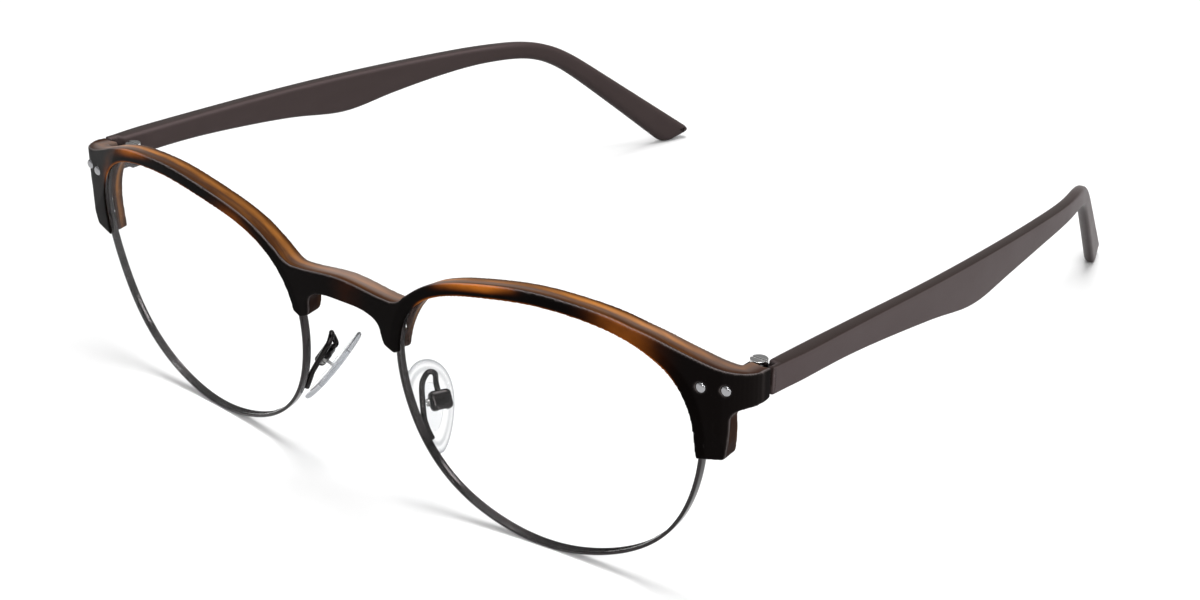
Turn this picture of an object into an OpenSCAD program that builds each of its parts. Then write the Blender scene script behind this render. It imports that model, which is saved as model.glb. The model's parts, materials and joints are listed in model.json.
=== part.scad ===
// Browline eyeglasses: metal eyewires under an acetate brow bar, folding temples and rocking nose pads.
// Millimetres. +X is the wearer's left, the front faces -Y, +Z is up.
// z = 0 is the table, where the eyewires and the temple tips rest.

/* [Eye outline] */
// Mean radius of the eyewire's outer outline
eye_r = 23.25; // [20:0.05:27]
// How much wider than tall the outline is
eye_wide = 2.25; // [0:0.05:3.5]
// How far the upper outer quarter is drawn out
eye_cant = 0.5; // [-0.5:0.05:1.5]
// How far the nasal side is pulled in
eye_nasal = -0.15; // [-0.6:0.05:0.6]
// Egg shape, fuller at the temples and flatter on top
eye_egg = 0.75; // [0:0.05:1.2]
// Squareness of the four quarters
eye_square = -0.35; // [-0.8:0.05:0.4]
// Fullness under the brow's two shoulders
eye_shoulder = 0.15; // [-0.3:0.05:0.4]
// Flatness of the bottom
eye_flat = -0.2; // [-0.4:0.05:0.2]

/* [Front] */
// Distance between the eyewires at the nose
bridge_w = 19.3; // [15:0.1:24]
// Lean of the front, top forward, when it stands on the table
front_tilt = 6.2; // [2:0.1:10]
// Radius of the front's curve seen from above
front_curve = 184; // [120:1:400]
// Half width of the straight middle of the front
flat_half = 15.5; // [8:0.5:20]

/* [Eyewire and lens] */
// Thickness of the eyewire's wall
wire_t = 0.55; // [0.45:0.05:0.9]
// Depth of the eyewire, front to back
wire_depth = 1.4; // [1.1:0.05:2.2]
// Depth of the lens groove in the eyewire
groove_deep = 0.3; // [0.15:0.05:0.35]
// Width of the lens groove
groove_w = 0.6; // [0.3:0.05:0.7]
// Width of the cut where the eyewire opens
split_w = 0.3; // [0.1:0.05:0.5]

/* [Brow bar] */
// Acetate above the eyewire
brow_over = 1.1; // [0.8:0.05:3]
// How far the bar's lip covers the lens inside the eyewire's outline
brow_lip = 1.05; // [0.9:0.05:2]
// Acetate in front of the eyewire
brow_proud = 0.45; // [0.3:0.05:1]
// Depth of the bar, front to back
brow_depth = 4; // [3.4:0.1:6]
// Slope of the bar's top face, down to the back
top_slope = 13; // [0:1:20]
// Height of the bridge's top above the eye's centre
bridge_top = 13.2; // [11.5:0.1:15]
// Height of the bridge's underside above the eye's centre
bridge_low = 9.3; // [7:0.1:10.5]
// Width of the bar beside the nose
leg_w = 2.4; // [2.1:0.1:4]
// Height of the nasal leg's end above the eye's centre
leg_low = 3.7; // [1:0.1:5]
// Depth of the nasal leg at its end
leg_depth = 2.6; // [2.5:0.1:3.4]

/* [End piece] */
// How far the end piece runs out past the eyewire
end_reach = 6.5; // [5.6:0.1:10]
// Height of the end piece's top above the eye's centre
end_top = 14.5; // [13.8:0.1:17]
// Height of the end piece's underside above the eye's centre
end_low = 9; // [7.8:0.1:9.6]
// Height at which the upright end piece leaves the leaning front
wrap_rise = 7.5; // [6:0.5:9]
// Turn of the end piece's face from the front, seen from above
wrap_turn = 20; // [16:0.5:24]
// Thickness of the end piece's side
end_wall = 3.3; // [2.8:0.1:4.5]
// Radius of the end piece's corner
end_round = 5.5; // [3:0.1:7]
// Where the end piece stops and the temple starts, behind the bridge
end_back = 11.2; // [10.8:0.1:16]
// Width of the foot below the end piece
foot_w = 3.5; // [3.2:0.1:5]
// Depth of the foot
foot_depth = 2.7; // [2.5:0.1:3.6]

/* [Hinge] */
// Radius of a knuckle
knuckle_r = 1.25; // [1.1:0.05:1.35]
// Height of a knuckle
knuckle_h = 1; // [0.8:0.05:1.1]
// Radius of the hinge screw's shank
hinge_screw_r = 0.6; // [0.4:0.05:0.75]
// Radius of the hinge screw's head
hinge_head_r = 1.25; // [1:0.05:1.35]
// Height of the hinge screw's head
hinge_head_h = 0.55; // [0.3:0.05:0.8]
// Distance of the hinge axis behind the end piece
hinge_back = 2.65; // [2.3:0.05:3.5]
// Distance of the hinge axis inside the end piece's side
hinge_in = 3.8; // [3.5:0.05:4.2]
// Thickness of the hinge leaves
leaf_t = 0.8; // [0.6:0.05:0.9]
// Length of the temple's leaf
leaf_len = 11; // [8:0.5:16]
// Radius of a rivet's head
rivet_head_r = 0.75; // [0.6:0.05:0.9]
// Radius of a rivet's shank
rivet_r = 0.5; // [0.3:0.05:0.55]
// Distance from the end piece's side to the outer rivet
rivet_in = 3.2; // [3:0.1:3.6]
// Distance between the two rivets
rivet_step = 3.2; // [2.4:0.1:3.6]

/* [Temple] */
// Length of the temple along its top edge
temple_len = 145; // [130:0.5:160]
// Height at the hinge
temple_h = 4.1; // [3.9:0.05:6]
// Height of the paddle
paddle_h = 7; // [5:0.05:10]
// Distance from the hinge end to the paddle
paddle_at = 54; // [45:1:62]
// Height of the neck in front of the ear bend
neck_h = 3.3; // [3:0.05:5]
// Distance from the hinge end to the neck
neck_at = 92; // [86:1:96]
// Height of the tip
tip_h = 5.7; // [4.5:0.1:8]
// Shear of the tip's end, which lies on the table
tip_shear = 3.7; // [2:0.1:7]
// Distance from the hinge end to the ear bend
bend_at = 94; // [90:1:100]
// Length of the ear bend
bend_len = 20; // [14:1:28]
// Angle of the ear bend
ear_angle = 34; // [22:0.5:42]
// Bow of the straight part, as the slope at its end
bow_angle = 1.3; // [0:0.1:2]
// Thickness at the hinge
temple_t = 2.75; // [2.5:0.05:3.5]
// Thickness at the tip
tip_t = 2.2; // [2:0.05:3]
// Height of the core wire
core_h = 1.4; // [0.8:0.1:1.8]
// Thickness of the core wire
core_t = 0.9; // [0.5:0.1:1]
// Angle at which the tips turn in behind the ears
tip_turn = 19.5; // [8:0.5:22]

/* [Nose pads] */
// Length of a pad
pad_len = 14.3; // [12:0.1:16]
// Width of a pad
pad_w = 6.9; // [6.2:0.1:8]
// Thickness of a pad
pad_t = 1; // [0.9:0.05:1.3]
// Radius of a pad's curve, hollow toward the lens
pad_bend = 74; // [50:1:150]
// Share by which a pad is wider at its upper end and narrower at its lower end
pad_taper = 0.34; // [0:0.02:0.4]
// Distance from the eyewire's nasal edge out to the pad's centre
pad_out = 0.65; // [0.4:0.05:1.2]
// Height of the pad's centre below the eye's centre
pad_drop = 7.9; // [6.5:0.1:9]
// Distance of the pad's centre behind the bridge
pad_back = 6.3; // [6:0.1:8]
// Lean of the pads, their lower ends apart
pad_lean = 53.5; // [48:0.5:60]
// Splay of the pads, their back edges apart
pad_splay = 62; // [56:0.5:68]
// Angle at which the pads rest, rocked about their screws
pad_rest = -0.6; // [-2:0.1:2]
// Radius of the pad arm's wire
arm_r = 0.4; // [0.3:0.05:0.5]
// Radius of the pad screw's shank
pad_screw_r = 0.35; // [0.25:0.05:0.45]
// Thickness of the insert's tongue
tongue_t = 1.2; // [0.8:0.1:1.4]

/* [Fits] */
// Gap between pieces that are seated on each other
seat_gap = 0.03; // [0.02:0.01:0.06]
// Gap between pieces that move past each other
run_gap = 0.06; // [0.04:0.01:0.1]
// Gap between an end piece and its open temple
joint_gap = 0.1; // [0.06:0.01:0.2]

/* [Hidden] */
$fn = 48;
far = 60;

// Smooth curve through points, each stretch cut into n pieces
function spline(p, n) = concat(
    [for (i = [0 : len(p) - 2], k = [0 : n - 1])
        let (a = p[max(i - 1, 0)], b = p[i], c = p[i + 1], d = p[min(i + 2, len(p) - 1)], t = k / n)
        0.5 * (2 * b + t * (c - a) + t * t * (2 * a - 5 * b + 4 * c - d)
            + t * t * t * (3 * b - a - 3 * c + d))],
    [p[len(p) - 1]]);
function flip(p) = [for (i = [len(p) - 1 : -1 : 0]) [-p[i].x, p[i].y]];
function both_halves(p) = concat(flip(p), p);
function ease(t) = let (c = min(max(t, 0), 1)) c * c * (3 - 2 * c);

// Eyewire's outer outline as a radius about the eye's centre, angle 0 at the temple and 90 on top
eye_n = 120;
function eye_rad(a) = eye_r + eye_wide * cos(2 * a) + eye_cant * sin(2 * a) + eye_nasal * cos(3 * a)
    + eye_egg * sin(3 * a) + eye_square * cos(4 * a) + eye_shoulder * sin(5 * a) + eye_flat * cos(6 * a);
eye_reach = [for (i = [0 : eye_n - 1]) let (a = 360 * i / eye_n) eye_rad(a) * cos(a)];
eye_x = bridge_w / 2 - min(eye_reach);
eye_edge = eye_x + max(eye_reach);
function eye_pt(a, off) = [eye_x + (eye_rad(a) + off) * cos(a), (eye_rad(a) + off) * sin(a)];
function eye_ring(off) = [for (i = [0 : eye_n - 1]) eye_pt(360 * i / eye_n, off)];

// Curve of the front from above: how far back the eyewire's front face lies at x
function bow(x) = front_curve - sqrt(pow(front_curve, 2) - pow(max(abs(x) - flat_half, 0), 2));
// Front frame to table frame, as [y, z]
function lean(y, z) = [y * cos(front_tilt) - z * sin(front_tilt),
    y * sin(front_tilt) + z * cos(front_tilt) + front_z];
front_z = -min([for (p = eye_ring(0)) bow(p.x) * sin(front_tilt) + p.y * cos(front_tilt)]);

// End piece from above: an upright face that turns from the front into the side by a round corner
end_x = eye_edge + end_reach;
wrap_y = lean(bow(eye_edge) - brow_proud, wrap_rise).x;
corner_y = wrap_y + (end_x - eye_edge) * tan(wrap_turn);
corner_run = end_round * tan((90 - wrap_turn) / 2);
function wrap(x) = x <= end_x - corner_run * cos(wrap_turn) ? wrap_y + (x - eye_edge) * tan(wrap_turn)
    : corner_y + corner_run - sqrt(max(pow(end_round, 2) - pow(x - end_x + end_round, 2), 0));
wrap_half = concat(
    [[0, wrap(0)]],
    [for (a = [wrap_turn : (90 - wrap_turn) / 10 : 90])
        [end_x - end_round + end_round * sin(a), corner_y + corner_run - end_round * cos(a)]],
    [[end_x, far]]);
bar_step = 1.5;
bar_in_x = end_x - end_wall;
wrap_run = 9;
wrap_from = eye_edge - wrap_run;
// Front of the bar at x and height z, in the front frame: the leaning front or the upright end piece
function bar_front(x, z) = max(bow(x) - brow_proud,
    (wrap(min(x, end_x)) + z * sin(front_tilt)) / cos(front_tilt));
function bow_half(s) = [for (x = [0 : bar_step : end_x + bar_step]) [x, bow(x) - brow_proud + s]];

// Bar's outline from the front, right half of the picture
leg_x = bridge_w / 2 - leg_w;
curve_n = 4;
cut_over = 1;
brow_angles = [146 : -10.5 : 72];
// The bar grows taller towards the end piece: angles round the eye, and what is added to brow_over there
brow_lift = [[62, 0.15], [53.7, 0.28], [45.5, 0.54]];
// Dip of the bridge's top edge before it climbs over the eye, as steps from the leg's inner edge
bridge_dip = [[-4.2, -0.2], [-0.5, -0.65], [1.4, -0.8], [3.2, -0.75], [4.7, 0]];
// Fall of the brow to the end piece, as steps from the end piece's top corner
brow_fall = [[-9.5, 2.5], [-5, 0.65], [-2, 0], [cut_over, -0.9]];
bar_top_knots = concat(
    [[0, bridge_top]],
    [for (p = bridge_dip) [leg_x, bridge_top] + p],
    [for (a = brow_angles) eye_pt(a, brow_over)],
    [for (p = brow_lift) eye_pt(p[0], brow_over + p[1])],
    [for (p = brow_fall) [end_x, end_top] + p]);
// A knot from beyond the middle makes the two halves meet smoothly there
bar_top_half = [for (p = spline(concat([[-bar_top_knots[1].x, bar_top_knots[1].y]], bar_top_knots), curve_n))
    if (p.x >= 0) p];
// Bend from the bridge's underside into the nasal leg, as steps from the leg's inner edge
leg_bend = [[-4, -0.05], [-2.2, -0.4], [-0.8, -1], [-0.05, -2.2]];
// Round end of the nasal leg, as steps from its inner edge
leg_round = [[0.15, 1.9], [0.7, 0.75], [leg_w - 0.1, 0], [leg_w + brow_lip + 0.3, 0.8]];
// Foot below the end piece: its end leans, then its side swells into the end piece
foot_angle = 2.1;
foot_end = [[0, -wire_t - 0.1], [0.8, foot_w - 0.5], [1.4, foot_w - 0.1]];
foot_swell = [[5.9, foot_w + 0.2], [10.4, foot_w + 0.45], [13.4, foot_w + 0.8]];
swell_side = [for (p = foot_swell) eye_pt(foot_angle + p.x, p.y)];
bar_low_half = concat(
    spline(concat(
        [[0, bridge_low]],
        [for (p = leg_bend) [leg_x, bridge_low] + p],
        [for (i = [0 : 2]) [leg_x, leg_low] + leg_round[i]]), curve_n),
    [[leg_x, leg_low] + leg_round[3], [eye_x, 0]],
    [eye_pt(foot_angle + 12, -brow_lip - cut_over), eye_pt(foot_angle + 10, -brow_lip)],
    [for (p = foot_end) eye_pt(foot_angle + p.x, p.y)],
    spline(concat(
        swell_side,
        [[swell_side[2].x + cut_over, end_low], [end_x + cut_over, end_low]]), curve_n));
// The top face falls toward the back, so its outline is taken square to that slope
function sloped(p) = [p.x, p.y * cos(top_slope) + bar_front(abs(p.x), p.y) * sin(top_slope)];

// Hinge and temple joint
joint_y = end_back;
end_mid = lean(joint_y, (end_top + end_low) / 2);
joint_down = 0.15;
joint_z = end_mid.y - joint_down;
hinge_x = end_x - hinge_in;
hinge_y = joint_y + hinge_back;
knuckle_step = knuckle_h + run_gap;
knuckles = 3;
hinge_down = 2.55;
hinge_z = joint_z - hinge_down;
hinge_top = hinge_z + knuckles * knuckle_step;
flare = 0.65;
temple_out = end_x + flare;
temple_in = temple_out - temple_t;
leaf_down = 1.25;
leaf_up = 1.05;
leaf_low = joint_z - leaf_down;
leaf_high = joint_z + leaf_up;
block_down = 2.1;
block_low = joint_z - block_down;
rivet_down = 0.1;
rivet_z = joint_z - rivet_down;
rivet_sink = 0.3;
rivet_head_h = 0.45;
rivet_tail = 0.4;
tail_room = 0.1;
rivet_xs = [end_x - rivet_in - rivet_step, end_x - rivet_in];
leaf_run = 3.7;
leaf_start = hinge_x - leaf_run;
seat_in = -0.9;
seat_y = wrap(leaf_start + seat_in) + brow_depth;
leaf_end = end_x - rivet_in + rivet_head_r;

// Temple seen from the side: its top edge is walked in steps and its height is laid off square to it
walk_n = 73;
walk = temple_len / walk_n;
function heading(s) = s < bend_at ? bow_angle * (1 - 2 * s / bend_at)
    : -bow_angle - (ear_angle - bow_angle) * ease((s - bend_at) / bend_len);
top_path = [for (i = 0, p = [0, temple_h / 2]; i <= walk_n;
    p = p + walk * [cos(heading((i + 0.5) * walk)), sin(heading((i + 0.5) * walk))], i = i + 1) p];
root_run = 18;
root_waist = 0.1;
swell_run = 14;
fall_run = [12, 26];
heights_n = 6;
heights = spline([[0, temple_h], [root_run, temple_h - root_waist],
    [paddle_at - swell_run, temple_h + 0.46 * (paddle_h - temple_h)], [paddle_at, paddle_h],
    [paddle_at + fall_run[0], neck_h + 0.6 * (paddle_h - neck_h)],
    [paddle_at + fall_run[1], neck_h + 0.18 * (paddle_h - neck_h)], [neck_at, neck_h],
    [bend_at + bend_len, neck_h + 0.15 * (tip_h - neck_h)], [temple_len, tip_h]], heights_n);
// Point at distance s along the temple, a share d of its height down from the top edge
function temple_pt(s, d, more = 0) =
    let (i = min(floor(s / walk), walk_n - 1), f = s / walk - i, h = heading(s))
    top_path[i] * (1 - f) + top_path[i + 1] * f + (d * lookup(s, heights) + more) * [sin(h), -cos(h)];
tip_low_s = temple_len - tip_shear;
tip_round = 2;
// Round corner at b on the way from a to c
function round_corner(a, b, c, r) =
    let (p = b + r * (a - b) / norm(a - b), q = b + r * (c - b) / norm(c - b))
    [for (t = [0 : 0.125 : 1]) pow(1 - t, 2) * p + 2 * t * (1 - t) * b + t * t * q];
tip_end = concat(
    round_corner(temple_pt(temple_len - tip_round, 0), temple_pt(temple_len, 0), temple_pt(tip_low_s, 1), tip_round),
    round_corner(temple_pt(temple_len, 0), temple_pt(tip_low_s, 1), temple_pt(tip_low_s - tip_round, 1), tip_round));
// The temple slopes down from the hinge until its tip meets the table
temple_slope = min([for (p = tip_end) asin(joint_z / norm(p)) - atan2(-p.y, p.x)]);
function stand(p) = [joint_y + p.x * cos(temple_slope) + p.y * sin(temple_slope),
    joint_z - p.x * sin(temple_slope) + p.y * cos(temple_slope)];
// Band along the temple's middle, from s0 to s1
function mid_band(s0, s1, half) = concat(
    [for (i = [0 : walk_n]) stand(temple_pt(s0 + (s1 - s0) * i / walk_n, 0.5, -half))],
    [for (i = [walk_n : -1 : 0]) stand(temple_pt(s0 + (s1 - s0) * i / walk_n, 0.5, half))]);

temple_side = concat(
    [for (s = [0 : walk : temple_len - tip_round - walk / 2]) stand(temple_pt(s, 0))],
    [for (p = tip_end) stand(p)],
    [for (i = [walk_n : -1 : 0]) stand(temple_pt((tip_low_s - tip_round - walk / 2) * i / walk_n, 1))]);

// Temple seen from above: straight, then turning in behind the ear
turn_at = 32;
turn_lead = 14;
turn_mid = bend_at - turn_lead;
mid_turn = 5.8;
turn_run = 25;
function turn(y) = mid_turn * min(max((y - turn_at) / (turn_mid - turn_at), 0), 1)
    + (tip_turn - mid_turn) * ease((y - turn_mid) / turn_run);
plan_n = 74;
plan_step = temple_len / plan_n;
out_path = [for (i = 0, x = temple_out; i <= plan_n;
    x = x - plan_step * tan(turn((i + 0.5) * plan_step)), i = i + 1) [i * plan_step, x]];
// The temple starts almost flush with the end piece and flares out a little behind it
root_step = 0.15;
flare_run = 8;
thin_run = 45;
function thick(y) = temple_t + (tip_t - temple_t) * ease(y / thin_run);
function plan_pt(y, d, more = 0) = [lookup(y, out_path) - d * thick(y) + more
    - (1 - d) * (flare - root_step) * (1 - ease(y / flare_run)), joint_y + y];
function plan_band(d0, d1, more = 0) = concat(
    [for (i = [0 : plan_n]) plan_pt(i * plan_step, d0, more)],
    [for (i = [plan_n : -1 : 0]) plan_pt(i * plan_step, d1, -more)]);

// Whole object's middle, front to back
front_most = min([for (p = bar_top_half) lean(bar_front(p.x, p.y), p.y).x]);
back_most = max([for (p = temple_side) p.x]);
mid_y = (front_most + back_most) / 2;

// Nose pad frame: x across the pad to the back, y up along it, z square to it toward the lens
pad_centre = [bridge_w / 2 + pad_out, pad_back, front_z - pad_drop];
box_clear = 1.6;
box_lift = pad_t / 2 + box_clear;
box_rise = 0.65;
box_side = 0.65;
pad_roll = 4.4;
pad_side = -0.16;
pad_rise = 0.25;
pad_apex = 1.2;
box_size = [3.2, 2.7, 1.9];
slot_end = 0.9;
box_up = 0.25;
tongue_r = 0.65;
pad_head_r = 0.6;
pad_head_h = 0.45;
insert_t = 0.4;
insert_len = 7.2;
insert_w = 3.4;
insert_up = 0.05;
function turn_pad(v) =
    let (c = v.y * cos(pad_lean) - v.z * sin(pad_lean), s = v.y * sin(pad_lean) + v.z * cos(pad_lean))
    [v.x * cos(pad_splay) - c * sin(pad_splay), v.x * sin(pad_splay) + c * cos(pad_splay), s];
function from_box(v) = pad_centre + turn_pad([box_side, box_rise, box_lift]) + v;
arm_in = 0.05;
function wire_back(a, lift) =
    let (p = eye_pt(a, -arm_in), q = lean(bow(p.x) + wire_depth + arm_r + seat_gap + lift, p.y))
    [p.x, q.x, q.y];

module place() translate([0, -mid_y, 0]) children();
module sides(left) place() mirror([left ? 0 : 1, 0, 0]) children();
module front_frame() translate([0, 0, front_z]) rotate([front_tilt, 0, 0]) children();
// Outline in x and z, run through from front to back
module through() rotate([90, 0, 0]) linear_extrude(height = 2 * far, center = true) children();
// Outline in y and z, run through from side to side
module across() rotate([90, 0, 90]) linear_extrude(height = 4 * far, center = true) children();
// Outline in x and y, run through from bottom to top
module upright() linear_extrude(height = 4 * far, center = true) children();
module eye_prism(off) through() polygon(eye_ring(off));
// Curved layer of the front, from s0 to s1 behind the eyewire's front face
module layer(s0, s1) translate([flat_half, front_curve, 0]) difference() {
    cylinder(r = front_curve - s0, h = 2 * far, center = true, $fn = 720);
    cylinder(r = front_curve - s1, h = 3 * far, center = true, $fn = 720);
}
module box_at(x, y, z) translate([x[0], y[0], z[0]]) cube([x[1] - x[0], y[1] - y[0], z[1] - z[0]]);
module along_y(r, y0, y1) translate([0, y0, 0]) rotate([-90, 0, 0]) cylinder(r = r, h = y1 - y0);
// Screw head with a straight slot, its seat at z = 0 and its shank below
module screw(shank_r, shank_l, head_r, head_h) {
    slot_w = head_r * 0.3;
    difference() {
        union() {
            cylinder(r = head_r, h = head_h);
            translate([0, 0, -shank_l]) cylinder(r = shank_r, h = shank_l + head_h / 2);
        }
        translate([-far / 2, -slot_w / 2, head_h * 0.6]) cube([far, slot_w, head_h]);
    }
}

// Closing lugs of the eyewire, behind the foot
split_a = 9.5;
split_pt = eye_pt(split_a, 0);
lug_w = 1.9;
lug_in = 0.6;
lug_low = 1.7;
lug_high = 2.1;
lug_back = 0.3;
lug_y = bow(split_pt.x) + lug_back;
lug_depth = 1.5;
rim_screw_r = 0.4;
rim_head_r = 0.65;
rim_head_h = 0.5;
head_room = 0.4;
foot_step = 0.6;
rim_screw_out = 0.95;
lug_x = split_pt.x + rim_screw_out;
module lug_space(gap) box_at(
    [split_pt.x - lug_in - gap, split_pt.x + lug_w + gap],
    [lug_y - gap, lug_y + lug_depth + gap],
    [split_pt.y - lug_low - gap, split_pt.y + lug_high + gap]);

// Nasal tab of the eyewire, behind the leg
tab_a = 162;
tab_pt = eye_pt(tab_a, 0);
tab_size = [1.9, 0.9, 2.2];
tab_back = 0.45;
tab_y = bow(tab_pt.x) + tab_back;
tab_screw_in = 0.75;
tab_x = tab_pt.x - tab_screw_in;
tab_root = 1.2;
tab_slot = 0.35;
brow_screw_r = 0.35;
brow_head_r = 0.65;
brow_head_h = 0.4;
brow_bite = 0.6;
brow_screw_l = tab_size.y + brow_bite;
module tab_space(gap) box_at(
    [tab_pt.x - tab_size.x - gap, tab_pt.x + tab_root],
    [tab_y - gap, tab_y + tab_size.y + gap],
    [tab_pt.y - tab_size.z / 2 - gap, tab_pt.y + tab_size.z / 2 + gap]);

module brow_bar() color("#2b1a12") place() difference() {
    intersection() {
        front_frame() {
            intersection() {
                upright() polygon(concat(both_halves(bow_half(0)), [[2 * far, far], [-2 * far, far]]));
                through() polygon(concat(
                    both_halves(bar_low_half), [[end_x + cut_over, far], [-end_x - cut_over, far]]));
                rotate([-top_slope, 0, 0]) through() polygon(concat(
                    [for (p = both_halves(bar_top_half)) sloped(p)],
                    [[end_x + cut_over, -far], [-end_x - cut_over, -far]]));
            }
        }
        upright() polygon(both_halves(wrap_half));
        union() {
            front_frame() upright() polygon(concat(
                both_halves(bow_half(brow_depth)), [[2 * far, -far], [-2 * far, -far]]));
            for (side = [0, 1]) mirror([side, 0, 0]) upright() polygon([
                [wrap_from, wrap(wrap_from) + brow_depth], [bar_in_x, wrap(bar_in_x) + brow_depth],
                [bar_in_x, far], [end_x + cut_over, far], [end_x + cut_over, -far], [wrap_from, -far]]);
        }
    }
    front_frame() {
        intersection() {
            cube([2 * flat_half, 4 * far, 4 * far], center = true);
            across() polygon([
                [brow_depth - brow_proud, bridge_top - cut_over], [leg_depth - brow_proud, leg_low],
                [leg_depth - brow_proud, leg_low - cut_over], [far, leg_low - cut_over],
                [far, bridge_top - cut_over]]);
        }
        for (side = [0, 1]) mirror([side, 0, 0]) {
            eye_prism(-brow_lip);
            intersection() {
                eye_prism(seat_gap);
                layer(-seat_gap, wire_depth + seat_gap);
            }
            box_at([eye_x, 2 * far], [bow(eye_edge + foot_w) - brow_proud + foot_depth, far],
                [-far, end_low - foot_step]);
            lug_space(seat_gap);
            box_at(
                [split_pt.x - lug_in - seat_gap, split_pt.x + lug_w + seat_gap], [lug_y, lug_y + brow_depth],
                [split_pt.y - lug_low - seat_gap, split_pt.y + lug_high + rim_head_h + head_room]);
            tab_space(seat_gap);
            box_at([tab_pt.x - tab_size.x - seat_gap, tab_pt.x + tab_slot], [tab_y, tab_y + 2 * brow_depth],
                [tab_pt.y - tab_size.z / 2 - seat_gap, tab_pt.y + tab_size.z / 2 + seat_gap]);
            translate([tab_x, 0, tab_pt.y])
                along_y(brow_screw_r + seat_gap, tab_y - brow_bite - seat_gap, tab_y + tab_size.y);
        }
    }
    translate([-far * 2, end_back, -far]) cube(4 * far);
    for (side = [0, 1]) mirror([side, 0, 0]) {
        box_at(
            [leaf_start - seat_gap, leaf_end + seat_gap], [seat_y, seat_y + leaf_t + rivet_tail + tail_room],
            [leaf_low - seat_gap, leaf_high + seat_gap]);
        box_at([hinge_x - knuckle_r - seat_gap, bar_in_x + seat_gap], [seat_y, far],
            [block_low - seat_gap, leaf_high + seat_gap]);
        for (x = rivet_xs) translate([x, 0, rivet_z]) {
            along_y(rivet_r + seat_gap, -far, seat_y + cut_over);
            along_y(rivet_head_r + seat_gap, -far, rivet_face(x) + seat_gap);
        }
    }
}
// Where a rivet's head sits on the front of the end piece
function rivet_face(x) = wrap(x) + rivet_sink;

module eyewire(left) color("#3c3a3a") sides(left) front_frame() difference() {
    union() {
        difference() {
            intersection() {
                eye_prism(0);
                layer(0, wire_depth);
            }
            eye_prism(-wire_t);
        }
        intersection() {
            lug_space(0);
            difference() {
                through() square(4 * far, center = true);
                eye_prism(-wire_t);
            }
        }
        intersection() {
            tab_space(0);
            difference() {
                through() square(4 * far, center = true);
                eye_prism(-wire_t);
            }
        }
    }
    intersection() {
        eye_prism(-wire_t + groove_deep);
        layer((wire_depth - groove_w) / 2, (wire_depth + groove_w) / 2);
    }
    box_at(
        [split_pt.x - lug_in - cut_over, split_pt.x + lug_w + cut_over], [lug_y - far / 4, lug_y + far / 4],
        [split_pt.y - split_w / 2, split_pt.y + split_w / 2]);
    translate([lug_x, lug_y + lug_depth / 2, split_pt.y - lug_low - cut_over])
        cylinder(r = rim_screw_r + seat_gap, h = lug_low + lug_high + 2 * cut_over);
    translate([tab_x, 0, tab_pt.y])
        along_y(brow_screw_r + seat_gap, tab_y - cut_over, tab_y + tab_size.y + cut_over);
}

module lens(left) color("#e8f0f2", 0.35) sides(left) front_frame() union() {
    intersection() {
        eye_prism(-wire_t - seat_gap);
        layer(seat_gap, wire_depth);
    }
    intersection() {
        eye_prism(-wire_t + groove_deep - seat_gap);
        layer((wire_depth - groove_w) / 2 + seat_gap, (wire_depth + groove_w) / 2 - seat_gap);
    }
}

module rim_screw(left) color("#8a8884") sides(left) front_frame()
    translate([lug_x, lug_y + lug_depth / 2, split_pt.y + lug_high + seat_gap / 2])
        screw(rim_screw_r, lug_high + lug_low, rim_head_r, rim_head_h);

module brow_screw(left) color("#8a8884") sides(left) front_frame()
    translate([tab_x, tab_y + tab_size.y + seat_gap / 2, tab_pt.y]) rotate([-90, 0, 0])
        screw(brow_screw_r, brow_screw_l, brow_head_r, brow_head_h);

module rivet(left, x) color("#d8d8da") sides(left) translate([x, 0, rivet_z]) {
    along_y(rivet_head_r, rivet_face(x) - rivet_head_h, rivet_face(x));
    along_y(rivet_r, rivet_face(x) - rivet_head_h / 2, seat_y + leaf_t + rivet_tail);
}

module hinge_bore(gap) translate([hinge_x, hinge_y, hinge_z - cut_over])
    cylinder(r = hinge_screw_r + gap, h = knuckles * knuckle_step + 2 * cut_over);
module hinge_front(left) color("#8d8b88") sides(left) difference() {
    union() {
        box_at([leaf_start, leaf_end], [seat_y + seat_gap, seat_y + leaf_t], [leaf_low, leaf_high]);
        box_at([hinge_x - knuckle_r, bar_in_x], [seat_y + leaf_t / 2, hinge_y - knuckle_r - run_gap],
            [block_low, hinge_top - run_gap]);
        for (level = [0, 2]) translate([hinge_x, hinge_y, hinge_z + level * knuckle_step]) {
            cylinder(r = knuckle_r, h = knuckle_h);
            translate([-knuckle_r, -knuckle_r - 2 * run_gap, 0])
                cube([knuckle_r + bar_in_x - hinge_x, knuckle_r + 2 * run_gap, knuckle_h]);
        }
    }
    hinge_bore(seat_gap);
    for (x = rivet_xs)
        translate([x, 0, rivet_z]) along_y(rivet_r + seat_gap, seat_y - cut_over, seat_y + leaf_t + cut_over);
}

leaf_sink = 0.5;
leaf_in = temple_in + leaf_sink + leaf_t;
leaf_back = 0.5;
leaf_short = 0.2;
leaf_neck = 1;
temple_leaf_y = hinge_y + knuckle_r + leaf_back;
module temple_leaf(gap) {
    box_at([temple_in + leaf_sink - gap, leaf_in + gap], [temple_leaf_y - gap, temple_leaf_y + leaf_len + gap],
        [hinge_z + leaf_short - gap, hinge_top - leaf_short + gap]);
    box_at([hinge_x, leaf_in + gap], [hinge_y - gap, temple_leaf_y + leaf_neck],
        [hinge_z + knuckle_step - gap / 2, hinge_z + knuckle_step + knuckle_h + gap / 2]);
}
module hinge_temple(left) color("#8d8b88") sides(left) difference() {
    union() {
        temple_leaf(0);
        translate([hinge_x, hinge_y, hinge_z + knuckle_step]) cylinder(r = knuckle_r, h = knuckle_h);
    }
    hinge_bore(run_gap);
}

module hinge_screw(left) color("#d8d8da") sides(left) translate([hinge_x, hinge_y, hinge_top])
    screw(hinge_screw_r, knuckles * knuckle_step + hinge_tail, hinge_head_r, hinge_head_h);
hinge_tail = 0.2;

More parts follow.
